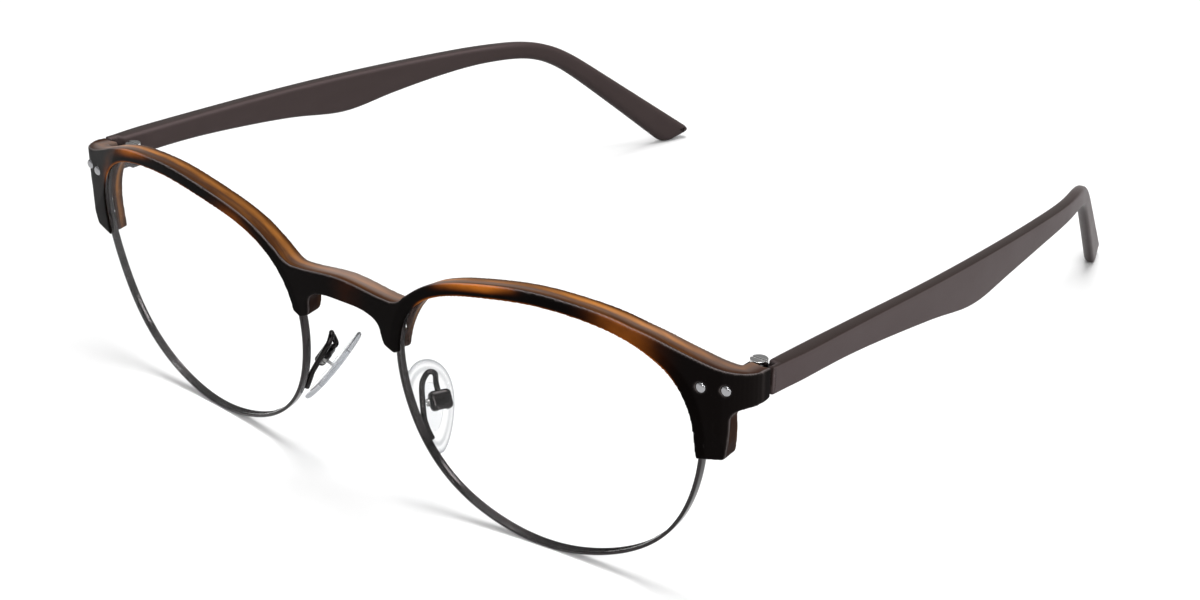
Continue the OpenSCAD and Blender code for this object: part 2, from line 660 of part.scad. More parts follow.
core_lead = 1;
core_short = 12;
core_start = temple_leaf_y - joint_y + leaf_len + core_lead;
core_end = temple_len - core_short;
module core_space(gap) intersection() {
    across() polygon(mid_band(core_start - gap, core_end + gap, core_h / 2 + gap));
    upright() polygon(plan_band(0.5, 0.5, core_t / 2 + gap));
}
// Notch that clears the hinge's knuckles
notch_under = 0.4;
notch_room = 0.25;
module temple(left) color("#463c3a") sides(left) difference() {
    intersection() {
        across() polygon(temple_side);
        upright() polygon(plan_band(0, 1));
    }
    translate([0, joint_y + joint_gap - far, 0]) cube([2 * far, far, far]);
    core_space(seat_gap);
    temple_leaf(seat_gap);
    translate([hinge_x, hinge_y, hinge_z - notch_under]) cylinder(r = knuckle_r + notch_room, h = far);
}
module temple_core(left) color("#a9a9a6") sides(left) core_space(0);

// Round wire along points, as rings of 8 sides square to the route
function ring(p, dir, r) =
    let (u = dir / norm(dir), e = cross(u, [0.3, 1, 0.2]), f = e / norm(e), g = cross(u, f))
    [for (k = [0 : 7]) p + r * (cos(45 * k) * f + sin(45 * k) * g)];
module tube(p, r) {
    n = len(p);
    rings = [for (i = [0 : n - 1]) each ring(p[i], p[min(i + 1, n - 1)] - p[max(i - 1, 0)], r)];
    sides = [for (i = [0 : n - 2], k = [0 : 7])
        let (a = 8 * i + k, b = 8 * i + (k + 1) % 8) each [[a, b + 8, b], [a, a + 8, b + 8]]];
    caps = [for (k = [1 : 6]) each [[0, k, k + 1], [8 * n - 8, 8 * n - 7 + k, 8 * n - 8 + k]]];
    polyhedron(rings, concat(sides, caps));
}
arm_entry = turn_pad([0, box_size.y / 2 + seat_gap, 0]);
// The arm leaves the back of the eyewire, rises in a loop and comes down square on the pad box
arm_root = [[207, 0], [204, 0], [201, 0.1], [198, 0.4]];
arm_loop = [[-1.7, -2, 2], [-2.05, -1.2, 3.3], [-1.75, -0.35, 4.25], [-1.15, 0.3, 3.9]];
arm_n = 3;
arm_route = concat(
    [for (p = arm_root) wire_back(p[0], p[1])],
    [for (p = arm_loop) from_box(p)],
    [from_box(arm_entry * 2), from_box(arm_entry * 1.3)]);
module pad_arm(left) color("#2e2d2d") sides(left)
    tube(concat(spline(arm_route, arm_n), [from_box(arm_entry)]), arm_r);

module pad_frame(left) sides(left) translate(pad_centre) rotate([pad_lean, 0, pad_splay]) children();
module pad_box(left) color("#2e2d2d") pad_frame(left) translate([box_side, box_rise, box_lift]) difference() {
    translate([0, 0, box_up]) cube(box_size, center = true);
    translate([-tongue_t / 2 - run_gap, slot_end - far, tongue_r + run_gap - far])
        cube([tongue_t + 2 * run_gap, far, far]);
    rotate([0, 90, 0]) cylinder(r = pad_screw_r + seat_gap, h = far, center = true);
}
module pad_screw(left) color("#8a8884") pad_frame(left)
    translate([box_side - box_size.x / 2 - seat_gap / 2, box_rise, box_lift]) rotate([0, -90, 0])
        screw(pad_screw_r, box_size.x, pad_head_r, pad_head_h);

function oval(l, w) =
    [for (a = [0 : 7.5 : 359]) [w / 2 * cos(a) * (1 + pad_taper * sin(a)), l / 2 * sin(a)]];
module insert_shape(gap) {
    translate([pad_side, pad_rise, insert_up - insert_t / 2 - gap])
        linear_extrude(height = insert_t + 2 * gap) rotate(-pad_roll)
            polygon(oval(insert_len + 2 * gap, insert_w + 2 * gap));
    translate([box_side - tongue_t / 2 - gap, box_rise - tongue_r - gap, 0])
        cube([tongue_t + 2 * gap, 2 * (tongue_r + gap), box_lift]);
}
// Pad and insert, rocked about the screw
module rocked(left) pad_frame(left) translate([0, box_rise, box_lift]) rotate([pad_rest, 0, 0])
    translate([0, -box_rise, -box_lift]) children();
module pad_insert(left) color("#d9dcdc", 0.6) rocked(left) difference() {
    union() {
        insert_shape(0);
        translate([box_side, box_rise, box_lift]) rotate([0, 90, 0])
            cylinder(r = tongue_r, h = tongue_t, center = true);
    }
    translate([0, box_rise, box_lift]) rotate([0, 90, 0])
        cylinder(r = pad_screw_r + run_gap, h = far, center = true);
}
module nose_pad(left) color("#f2f4f4", 0.4) rocked(left) difference() {
    intersection() {
        translate([pad_side, pad_rise, 0]) rotate(-pad_roll)
            linear_extrude(height = far, center = true) polygon(oval(pad_len, pad_w));
        translate([pad_side, pad_rise + pad_apex, pad_bend]) difference() {
            sphere(r = pad_bend + pad_t / 2, $fn = 180);
            sphere(r = pad_bend - pad_t / 2, $fn = 180);
        }
    }
    insert_shape(seat_gap);
}

brow_bar();
eyewire(true);  // left_eyewire
eyewire(false);  // right_eyewire
lens(true);  // left_lens
lens(false);  // right_lens
rim_screw(true);  // left_rim_screw
rim_screw(false);  // right_rim_screw
brow_screw(true);  // left_brow_screw
brow_screw(false);  // right_brow_screw
rivet(true, rivet_xs[0]);  // left_rivet_inner
rivet(false, rivet_xs[0]);  // right_rivet_inner
rivet(true, rivet_xs[1]);  // left_rivet_outer
rivet(false, rivet_xs[1]);  // right_rivet_outer
hinge_front(true);  // left_hinge_front
hinge_front(false);  // right_hinge_front
hinge_temple(true);  // left_hinge_temple
hinge_temple(false);  // right_hinge_temple
hinge_screw(true);  // left_hinge_screw
hinge_screw(false);  // right_hinge_screw
temple(true);  // left_temple
temple(false);  // right_temple
temple_core(true);  // left_temple_core
temple_core(false);  // right_temple_core
pad_arm(true);  // left_pad_arm
pad_arm(false);  // right_pad_arm
pad_box(true);  // left_pad_box
pad_box(false);  // right_pad_box
pad_screw(true);  // left_pad_screw
pad_screw(false);  // right_pad_screw
pad_insert(true);  // left_pad_insert
pad_insert(false);  // right_pad_insert
nose_pad(true);  // left_nose_pad
nose_pad(false);  // right_nose_pad
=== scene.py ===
# %% [markdown]
# # Browline eyeglasses
# This lesson dresses a pair of half rim eyeglasses. The CAD model gives every piece its place and its
# size. Here each piece gets the rounded edges of a tumbled frame, and a finish of its own.

# %% Load the model
import json
import math
import bmesh
import bpy
import numpy as np
from mathutils import Matrix, Vector

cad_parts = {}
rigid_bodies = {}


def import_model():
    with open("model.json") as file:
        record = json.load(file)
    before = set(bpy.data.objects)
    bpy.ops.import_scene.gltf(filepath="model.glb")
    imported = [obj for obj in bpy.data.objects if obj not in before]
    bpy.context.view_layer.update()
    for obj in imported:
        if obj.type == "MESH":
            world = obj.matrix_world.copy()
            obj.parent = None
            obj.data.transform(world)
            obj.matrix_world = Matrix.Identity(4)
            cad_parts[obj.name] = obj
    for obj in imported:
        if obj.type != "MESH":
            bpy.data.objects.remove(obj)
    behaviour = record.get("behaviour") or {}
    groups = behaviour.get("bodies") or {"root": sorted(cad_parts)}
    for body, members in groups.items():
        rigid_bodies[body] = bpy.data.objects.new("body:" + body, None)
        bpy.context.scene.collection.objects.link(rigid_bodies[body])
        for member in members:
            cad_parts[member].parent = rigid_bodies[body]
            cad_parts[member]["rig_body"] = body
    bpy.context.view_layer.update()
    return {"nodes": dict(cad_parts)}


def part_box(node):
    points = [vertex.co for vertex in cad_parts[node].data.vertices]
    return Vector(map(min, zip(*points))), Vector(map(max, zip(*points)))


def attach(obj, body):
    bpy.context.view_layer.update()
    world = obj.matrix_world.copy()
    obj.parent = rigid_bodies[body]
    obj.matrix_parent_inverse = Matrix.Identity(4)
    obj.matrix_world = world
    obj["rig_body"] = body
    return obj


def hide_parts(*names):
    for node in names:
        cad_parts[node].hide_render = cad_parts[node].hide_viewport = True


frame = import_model()
nodes = frame["nodes"]
scene = bpy.context.scene
MM = 0.001
SIDES = (("left", 1), ("right", -1))
print(len(nodes), "pieces from the CAD model")

# %% [markdown]
# ## Pieces from points
# Small pieces are easier to think about in millimetres, so the shapes below are written in millimetres
# and shrunk to metres when the mesh is made. A wire or a turned rivet is a row of rings of points, and
# each ring is joined to the next one by four-sided faces. The right half is the left half mirrored.

# %% Meshes from points


def make_object(name, mesh):
    mesh.materials.clear()
    mesh.shade_smooth()
    obj = bpy.data.objects.new(name, mesh)
    scene.collection.objects.link(obj)
    return obj


def mesh_from(name, points, faces):
    """A piece from points in millimetres, with its faces turned outward."""
    mesh = bpy.data.meshes.new(name)
    mesh.from_pydata([[c * MM for c in p] for p in points], [], faces)
    work = bmesh.new()
    work.from_mesh(mesh)
    bmesh.ops.recalc_face_normals(work, faces=work.faces)
    work.to_mesh(mesh)
    work.free()
    return make_object(name, mesh)


def ring_faces(rings, sides):
    """Quads between neighbouring rings, and a face on each end."""
    faces = []
    for ring in range(rings - 1):
        for k in range(sides):
            a, b = ring * sides + k, ring * sides + (k + 1) % sides
            faces.append((a, b, b + sides, a + sides))
    last = (rings - 1) * sides
    return faces + [tuple(range(sides)), tuple(range(last, last + sides))]


def mirrored(points, sign):
    return [(sign * q[0], q[1], q[2]) for q in points]


print("two rings of four points make", len(ring_faces(2, 4)), "faces")

# %% [markdown]
# ## Tumbled copies
# Frames turn for days in a barrel of wooden pegs, which rubs their sharp edges away. A copy of the CAD
# piece is melted into small even cells here and then smoothed, which rounds all edges at once. A bevel
# would need clean edges, and a CAD mesh doesn't have them.

# %% Tumbled copies
WELD = 1e-4
RUB = 0.5
LAST_PASSES = 2


def melt(obj, cell, passes):
    """Cut an object into even cells and rub it smooth."""
    cells = obj.modifiers.new("cells", "REMESH")
    cells.mode, cells.voxel_size = "VOXEL", cell
    rub = obj.modifiers.new("rub", "SMOOTH")
    rub.factor, rub.iterations = RUB, passes


def softened(node, name, cell, passes, keep=1.0, even=None):
    """A copy of a CAD piece with rounded edges, thinned out or cut into even cells. In millimetres."""
    mesh = nodes[node].data.copy()
    mesh.transform(Matrix.Scale(1 / MM, 4))
    work = bmesh.new()
    work.from_mesh(mesh)
    bmesh.ops.remove_doubles(work, verts=work.verts, dist=WELD)
    work.to_mesh(mesh)
    work.free()
    obj = make_object(name, mesh)
    melt(obj, cell, passes)
    if keep < 1:
        obj.modifiers.new("thin", "DECIMATE").ratio = keep
    if even:
        melt(obj, even, LAST_PASSES)
    ready = obj.evaluated_get(bpy.context.evaluated_depsgraph_get())
    result = bpy.data.meshes.new_from_object(ready)
    obj.modifiers.clear()
    obj.data = result
    result.transform(Matrix.Scale(MM, 4))
    result.materials.clear()
    result.shade_smooth()
    return obj


print("brow bar before tumbling", len(nodes["brow_bar"].data.polygons), "faces")

# %% [markdown]
# ## Putting a piece in its place
# A new piece takes over from its CAD piece: it moves with the same body, and the CAD piece is hidden.
# Some pieces keep their CAD shape and only get a coat. A value for every point of a mesh can be stored in
# it by name, and a finish can read it again.


def fit(obj, node, material):
    """The new piece takes the place of a CAD piece and moves with its body."""
    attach(obj, nodes[node]["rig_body"])
    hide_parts(node)
    obj.data.materials.append(material)


def coat(node, material):
    """A CAD piece keeps its shape and gets a finish."""
    nodes[node].data.materials.clear()
    nodes[node].data.materials.append(material)


def points_of(mesh):
    flat = np.empty(len(mesh.vertices) * 3)
    mesh.vertices.foreach_get("co", flat)
    return flat.reshape(-1, 3) / MM


def give(mesh, name, values):
    """Store one value for every point of a mesh."""
    layer = mesh.attributes.new(name, "FLOAT", "POINT")
    layer.data.foreach_set("value", np.asarray(values, dtype=np.float32))


# %% [markdown]
# ## The lines of the front
# The eye shape is a circle with a few waves on it, so one formula gives the outline of both eyewires.
# The front is bowed like a piece of a large drum and leans back a little. These formulas place everything
# that follows the eye: the wire itself, and the layers of the brow bar.

# %% Formulas of the front
EYE_X, EYE_R = 34.8261, 23.25
EYE_WAVES = ((2, 2.25, 0.5), (3, -0.15, 0.75), (4, -0.35, 0.0), (5, 0.0, 0.15), (6, -0.2, 0.0))
BOW_R, BOW_FLAT = 184.0, 15.5
FRONT_Z, TILT = 21.2325, math.radians(6.2)
HINGE_Y = 13.85
MID_Y = HINGE_Y - sum(c[1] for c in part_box("left_hinge_screw")) / 2 / MM


def eye_radius(a):
    return EYE_R + sum(c * np.cos(n * a) + s * np.sin(n * a) for n, c, s in EYE_WAVES)


def eye_point(a):
    return np.array([EYE_X + eye_radius(a) * np.cos(a), eye_radius(a) * np.sin(a)])


def bow(x):
    """How far the bowed front lies behind its middle."""
    return BOW_R - np.sqrt(BOW_R**2 - np.maximum(np.abs(x) - BOW_FLAT, 0) ** 2)


def from_front(x, y, z):
    """Front frame to the row frame, in millimetres."""
    return (x, y * math.cos(TILT) - z * math.sin(TILT) - MID_Y,
            y * math.sin(TILT) + z * math.cos(TILT) + FRONT_Z)


print("eye", round(float(eye_point(0)[0] - eye_point(math.pi)[0]), 1), "mm wide")

# %% [markdown]
# ## Camera
# The photograph looks down on the glasses from the wearer's left front. A long lens keeps the far temple
# nearly as large as the near one. The camera's three directions are worked out from its turn and its rise,
# because that is easier to match to a photograph than three angles.

# %% Camera
CAMERA_TURN, CAMERA_RISE = math.radians(38.598), math.radians(25.442)
CAMERA_LENS, SENSOR = 65.57, 36
camera_at = (0.20702, -0.20075 - MID_Y * MM, 0.16631)
cam = bpy.data.objects.new("camera", bpy.data.cameras.new("camera"))
cam.data.lens, cam.data.sensor_width, cam.data.sensor_fit = CAMERA_LENS, SENSOR, "HORIZONTAL"
cam.data.clip_start = 0.01
scene.collection.objects.link(cam)
level = math.cos(CAMERA_RISE)
back = Vector((math.sin(CAMERA_TURN) * level, -math.cos(CAMERA_TURN) * level, math.sin(CAMERA_RISE)))
right = Vector((math.cos(CAMERA_TURN), math.sin(CAMERA_TURN), 0))
up = back.cross(right)
cam.matrix_world = Matrix([(right[i], up[i], back[i], camera_at[i]) for i in range(3)] + [(0, 0, 0, 1)])
scene.camera = cam
print("camera", [round(c, 3) for c in cam.location])

# %% [markdown]
# ## Mixing surfaces
# A surface in Blender is a tree of nodes. Adding a node and mixing two surfaces are needed again and again,
# so each gets a helper. One more helper tells what the camera can see of a surface, straight on or in metal
# or through clear plastic. The colours are shown as they are written, without a film look.

# %% Nodes and mixes
scene.view_settings.view_transform = "Standard"


def node_of(tree, kind, **values):
    node = tree.nodes.new(kind)
    for key, value in values.items():
        setattr(node, key, value)
    return node


def joined(tree, factor, a, b):
    """Two shaders mixed by a factor."""
    mix = node_of(tree, "ShaderNodeMixShader")
    for socket, value in zip(mix.inputs, (factor, a, b)):
        tree.links.new(value, socket)
    return mix.outputs[0]


def seen_directly(tree):
    """1 where the camera looks straight at a surface, or sees it in metal or through clear plastic."""
    path = node_of(tree, "ShaderNodeLightPath")
    either = path.outputs["Is Camera Ray"]
    for kind in ("Is Glossy Ray", "Is Transmission Ray"):
        more = node_of(tree, "ShaderNodeMath", operation="MAXIMUM")
        tree.links.new(either, more.inputs[0])
        tree.links.new(path.outputs[kind], more.inputs[1])
        either = more.outputs[0]
    return either


def grey_shader(tree, kind, grey):
    node = node_of(tree, kind)
    node.inputs["Color"].default_value = (grey, grey, grey, 1)
    return node


print("view", scene.view_settings.view_transform)

# %% [markdown]
# ## Table
# A product photograph on white needs a pale table that still shows the shadow under the rims. The paper is
# lit by the lamps near the glasses and fades to plain white further off. The camera sees this paper, and
# so do the metal and the clear plastic. Only the soft light that bounces off it is held back, because a
# large white table would wash out the dark acetate from below.

# %% White table
TABLE_HALF, TABLE_DROP = 4000, 0.02
PAPER_GREY, PAPER_GLOW, BOUNCE_GREY = 0.78, 0.02, 0.18
FADE_FROM, FADE_TO = 0.2, 0.5

corners = ((-1, -1), (1, -1), (1, 1), (-1, 1))
table = mesh_from("table", [(a * TABLE_HALF, b * TABLE_HALF, -TABLE_DROP) for a, b in corners],
                  [(0, 1, 2, 3)])
paper = bpy.data.materials.new("white_paper")
paper.use_nodes = True
t = paper.node_tree
t.nodes.remove(t.nodes["Principled BSDF"])
lit = grey_shader(t, "ShaderNodeBsdfDiffuse", PAPER_GREY)
glow = grey_shader(t, "ShaderNodeEmission", 1)
glow.inputs["Strength"].default_value = PAPER_GLOW
near_paper = node_of(t, "ShaderNodeAddShader")
t.links.new(lit.outputs[0], near_paper.inputs[0])
t.links.new(glow.outputs[0], near_paper.inputs[1])
far_paper = grey_shader(t, "ShaderNodeEmission", 1)
dim_paper = grey_shader(t, "ShaderNodeBsdfDiffuse", BOUNCE_GREY)
on_table = node_of(t, "ShaderNodeTexCoord")
away = node_of(t, "ShaderNodeVectorMath", operation="LENGTH")
t.links.new(on_table.outputs["Object"], away.inputs[0])
fade = node_of(t, "ShaderNodeMapRange")
fade.inputs["From Min"].default_value, fade.inputs["From Max"].default_value = FADE_FROM, FADE_TO
t.links.new(away.outputs["Value"], fade.inputs["Value"])
seen_paper = joined(t, fade.outputs[0], near_paper.outputs[0], far_paper.outputs[0])
t.links.new(joined(t, seen_directly(t), dim_paper.outputs[0], seen_paper),
            t.nodes["Material Output"].inputs["Surface"])
table.data.materials.append(paper)
print("table", 2 * TABLE_HALF * MM, "m wide")

# %% [markdown]
# ## Lamps and sky
# Large lamps give soft shadows. The big lamp hangs overhead, so the rims keep a small shadow where they
# touch the table. One lamp at the side lights the temples, and a small one in front puts a spark on the
# rivets. The sky is a plain white wall all round, with a dimmer room above it, so that polished metal has
# something light and something dark to show.

# %% Lamps and sky
LAMPS = (("overhead_lamp", (0.05, 0.12, 1.1), (0, 0, 0), (0.9, 0.45), 10.5),
         ("side_lamp", (1.3, 0.1, 0.5), (0, 0, 0.02), (0.7, 0.7), 5.0),
         ("front_lamp", (0.5, -0.7, 0.6), (0, 0, 0.02), (0.35, 0.35), 3.5))
SKY = ((0.0, 1.0), (0.14, 1.0), (0.26, 0.18), (1.0, 0.74))

for name, stand, aim, size, watts in LAMPS:
    light = bpy.data.lights.new(name, "AREA")
    light.shape, light.size, light.size_y, light.energy = "RECTANGLE", size[0], size[1], watts
    lamp = bpy.data.objects.new(name, light)
    scene.collection.objects.link(lamp)
    lamp.location = stand
    lamp.rotation_euler = (Vector(aim) - Vector(stand)).to_track_quat("-Z", "Y").to_euler()
world = bpy.data.worlds.new("studio")
scene.world = world
world.use_nodes = True
sky = world.node_tree
direction = node_of(sky, "ShaderNodeTexCoord")
axes = node_of(sky, "ShaderNodeSeparateXYZ")
heights = node_of(sky, "ShaderNodeValToRGB")
stops = heights.color_ramp.elements
for i, (height, grey) in enumerate(SKY):
    stop = stops[i] if i < 2 else stops.new(height)
    stop.position, stop.color = height, (grey, grey, grey, 1)
sky.links.new(direction.outputs["Generated"], axes.inputs[0])
sky.links.new(axes.outputs["Z"], heights.inputs["Fac"])
sky.links.new(heights.outputs["Color"], sky.nodes["Background"].inputs["Color"])
print(len(LAMPS), "lamps and a sky of", len(stops), "greys")

# %% [markdown]
# ## Tools for finishes
# A finish is built from a few steps that come back all the time: a cloudy noise, a stretch of its range,
# a sum and a blend of two colours. Each step is a node, and these helpers add one node each, so that a
# finish can be read line by line. Noise is measured in millimetres of the object, so that its size stays
# true on every piece.

# %% Noise, ranges and blends


def scaled_position(tree, size, stretch=(1, 1, 1)):
    """Object position in cells of that size in millimetres, drawn out along some axes."""
    position = node_of(tree, "ShaderNodeTexCoord")
    scale = node_of(tree, "ShaderNodeMapping")
    scale.inputs["Scale"].default_value = [1 / (size * MM * s) for s in stretch]
    tree.links.new(position.outputs["Object"], scale.inputs["Vector"])
    return scale.outputs["Vector"]


def noise(tree, size, stretch=(1, 1, 1), detail=2.0, rough=0.5):
    tex = node_of(tree, "ShaderNodeTexNoise")
    tex.inputs["Scale"].default_value = 1
    tex.inputs["Detail"].default_value = detail
    tex.inputs["Roughness"].default_value = rough
    tree.links.new(scaled_position(tree, size, stretch), tex.inputs["Vector"])
    return tex.outputs["Fac"]


def spread(tree, value, low, high, to_low=0.0, to_high=1.0):
    """Stretch a value's range from low..high to another one."""
    node = node_of(tree, "ShaderNodeMapRange", interpolation_type="SMOOTHSTEP")
    for i, number in enumerate((low, high, to_low, to_high)):
        node.inputs[i + 1].default_value = number
    tree.links.new(value, node.inputs[0])
    return node.outputs[0]


def calc(tree, how, a, b):
    node = node_of(tree, "ShaderNodeMath", operation=how)
    for i, value in enumerate((a, b)):
        if isinstance(value, (int, float)):
            node.inputs[i].default_value = value
        else:
            tree.links.new(value, node.inputs[i])
    return node.outputs[0]


def blend(tree, factor, a, b):
    node = node_of(tree, "ShaderNodeMix", data_type="RGBA")
    tree.links.new(factor, node.inputs["Factor"])
    for socket, value in ((node.inputs["A"], a), (node.inputs["B"], b)):
        if isinstance(value, tuple):
            socket.default_value = value + (1,)
        else:
            tree.links.new(value, socket)
    return node.outputs["Result"]


print("five steps for finishes")

# %% [markdown]
# ## Effects shared by several finishes
# Matte acetate and brushed metal both look flat in a render when every spot of them is the same. Two
# shader groups bring the small unevenness: fine grain from the tumbling barrel, and the drawn lines and
# faint smudges of metal. A group hands out plain values, and each finish decides what to do with them.

# %% Shader groups
FLOAT = "NodeSocketFloat"
GRAIN_FINE, GRAIN_BROAD = 0.16, 6
DRAWN_LINE, DRAWN_SMUDGE = 0.09, 2.2


def new_group(name, rough, outs):
    """A group with a Roughness input and some value outputs."""
    group = bpy.data.node_groups.new(name, "ShaderNodeTree")
    group.interface.new_socket("Roughness", in_out="INPUT", socket_type=FLOAT).default_value = rough
    for label in outs:
        group.interface.new_socket(label, in_out="OUTPUT", socket_type=FLOAT)
    return group, group.nodes.new("NodeGroupInput"), group.nodes.new("NodeGroupOutput")


grain_group, g_in, g_out = new_group("tumbled_grain", 0.4, ("Roughness", "Height"))
fine = noise(grain_group, GRAIN_FINE, detail=3)
broad = noise(grain_group, GRAIN_BROAD, detail=2)
uneven = calc(grain_group, "ADD", spread(grain_group, broad, 0.3, 0.7, -0.02, 0.02),
              spread(grain_group, fine, 0.3, 0.7, -0.02, 0.02))
grain_rough = calc(grain_group, "ADD", g_in.outputs["Roughness"], uneven)
grain_group.links.new(grain_rough, g_out.inputs["Roughness"])
grain_group.links.new(fine, g_out.inputs["Height"])

drawn_group, d_in, d_out = new_group("drawn_metal", 0.25, ("Roughness", "Shade", "Height"))
drawn_lines = noise(drawn_group, DRAWN_LINE, (5, 1, 5), detail=2)
smudge = noise(drawn_group, DRAWN_SMUDGE, detail=3)
drawn_rough = calc(drawn_group, "ADD", d_in.outputs["Roughness"],
                   spread(drawn_group, smudge, 0.35, 0.7, -0.008, 0.012))
drawn_group.links.new(drawn_rough, d_out.inputs["Roughness"])
drawn_group.links.new(spread(drawn_group, smudge, 0.25, 0.75, 0.45, 0.55), d_out.inputs["Shade"])
drawn_group.links.new(drawn_lines, d_out.inputs["Height"])
print(len(bpy.data.node_groups), "shader groups")

# %% [markdown]
# ## New finishes
# Every finish starts from Blender's Principled surface. A bump makes fine height differences catch the
# light without changing the shape. Acetate always gets the grain of the barrel. A finish can also read the
# values that are stored in a mesh by name.

# %% Starting a finish
GRAIN_DEPTH = 0.008


def new_finish(name):
    mat = bpy.data.materials.new(name)
    mat.use_nodes = True
    return mat, mat.node_tree, mat.node_tree.nodes["Principled BSDF"]


def put_group(tree, group, rough):
    node = node_of(tree, "ShaderNodeGroup", node_tree=group)
    node.inputs["Roughness"].default_value = rough
    return node


def add_bump(tree, shader, height, depth):
    bump = node_of(tree, "ShaderNodeBump")
    bump.inputs["Distance"].default_value = depth * MM
    bump.inputs["Strength"].default_value = 1
    tree.links.new(height, bump.inputs["Height"])
    tree.links.new(bump.outputs["Normal"], shader.inputs["Normal"])


def add_grain(tree, shader, rough):
    grain = put_group(tree, grain_group, rough)
    tree.links.new(grain.outputs["Roughness"], shader.inputs["Roughness"])
    add_bump(tree, shader, grain.outputs["Height"], GRAIN_DEPTH)


def attribute(tree, name):
    return node_of(tree, "ShaderNodeAttribute", attribute_name=name).outputs["Fac"]


print("grain is", GRAIN_DEPTH, "mm deep")

# %% [markdown]
# ## Finish of the brow bar
# The bar is cut from a laminated sheet: a nearly black tortoise skin in front, golden brown layers behind
# it. Real acetate is dyed right through, so the layers show on the top edge and inside the feet. The
# finish asks every point how deep it lies and how much amber it has, and how much painted shade, painted
# sheen and painted edge highlight it gets. Those values are stored in the mesh further down. The matte
# surface hardly mirrors anything.

# %% Brow finish
BLACK_SKIN, RED_SKIN, AMBER_SKIN = (0.0022, 0.0014, 0.0012), (0.11, 0.026, 0.006), (0.64, 0.185, 0.022)
BROWN_LAYER, GOLD_LAYER = (0.050, 0.018, 0.006), (0.52, 0.200, 0.042)
# Colours of painted shade, of a painted sheen for the overhead lamp and of a painted edge highlight.
PAINTED_SHADE, PAINTED_SHEEN_COLOUR, PAINTED_EDGE_HIGHLIGHT = (0.022, 0.011, 0.009), (0.40, 0.32, 0.285), (0.20, 0.17, 0.165)
BROW_ROUGH, BROW_MIRROR = 0.36, 0.012

brow_mat, t, shader = new_finish("brow_acetate_finish")
depth = attribute(t, "layer_depth")
cloud = noise(t, 3.5, (1.6, 1, 1), detail=3)
patch = calc(t, "MULTIPLY", attribute(t, "amber"), spread(t, cloud, 0.25, 0.65, 0.8, 1.15))
red_brown = blend(t, spread(t, patch, 0.02, 0.55), BLACK_SKIN, RED_SKIN)
skin = blend(t, spread(t, patch, 0.12, 0.95), red_brown, AMBER_SKIN)
streak = noise(t, 1.6, (7, 0.6, 1.6), detail=4, rough=0.6)
gold_line = calc(t, "MULTIPLY", spread(t, depth, 1.7, 2.5), spread(t, depth, 3.5, 2.7))
glint = spread(t, noise(t, 9, (1.5, 0.5, 1), detail=3), 0.3, 0.7, 0.2, 0.9)
glow_line = calc(t, "MULTIPLY", gold_line, calc(t, "MULTIPLY", glint, 0.75))
gold = calc(t, "ADD", spread(t, streak, 0.4, 0.7, 0, 0.1), glow_line)
layers = blend(t, gold, BROWN_LAYER, GOLD_LAYER)
# Painted shade, painted sheen and a painted edge highlight go over the layer colours.
shaded_layers = blend(t, attribute(t, "dark"), layers, PAINTED_SHADE)
sheen_layers = blend(t, attribute(t, "sheen"), shaded_layers, PAINTED_SHEEN_COLOUR)
colour = blend(t, spread(t, depth, 0.22, 0.6), skin, sheen_layers)
colour = blend(t, attribute(t, "edge"), colour, PAINTED_EDGE_HIGHLIGHT)
t.links.new(colour, shader.inputs["Base Color"])
shader.inputs["Specular IOR Level"].default_value = BROW_MIRROR
add_grain(t, shader, BROW_ROUGH)
print(brow_mat.name, "has", len(t.nodes), "nodes")

# %% [markdown]
# ## Finish of the temples
# The temples are a matte dark brown. Painted light and shade stand in for how the light falls: the flat
# faces get a lit colour and the rubbed edges a shaded one, and a value stored in the mesh tells how much
# of the lit face colour a point gets. A little noise drawn out along the temple keeps the colour from
# looking painted on.

# %% Temple finish
# Painted light and shade: a lit colour for the flat faces and a shaded colour for the edges.
LIT_FACE_COLOUR = (0.076, 0.056, 0.056), (0.081, 0.060, 0.060)
SHADED_EDGE_COLOUR = (0.019, 0.012, 0.010), (0.023, 0.015, 0.013)
TEMPLE_ROUGH, TEMPLE_MIRROR = 0.42, 0.08

temple_mat, t, shader = new_finish("temple_acetate_finish")
shade = spread(t, noise(t, 4, (1, 5, 1), detail=4), 0.25, 0.75)
lit_face_colour, shaded_edge_colour = blend(t, shade, *LIT_FACE_COLOUR), blend(t, shade, *SHADED_EDGE_COLOUR)
# The stored share blends the painted shade of the edges into the lit face colour.
t.links.new(blend(t, attribute(t, "face"), shaded_edge_colour, lit_face_colour), shader.inputs["Base Color"])
shader.inputs["Specular IOR Level"].default_value = TEMPLE_MIRROR
add_grain(t, shader, TEMPLE_ROUGH)
print(temple_mat.name, "has", len(t.nodes), "nodes")

# %% [markdown]
# ## Metal finishes
# The eyewires and hinges are plated gunmetal, the pad arms a darker one, the screws plain or satin steel,
# and the rivets are polished. They differ in colour and roughness only, so one recipe makes all five.

# %% Metals


def metal(name, dark, light, rough, depth):
    mat, tree, shader = new_finish(name)
    shader.inputs["Metallic"].default_value = 1
    drawn = put_group(tree, drawn_group, rough)
    tree.links.new(blend(tree, drawn.outputs["Shade"], dark, light), shader.inputs["Base Color"])
    tree.links.new(drawn.outputs["Roughness"], shader.inputs["Roughness"])
    add_bump(tree, shader, drawn.outputs["Height"], depth)
    return mat


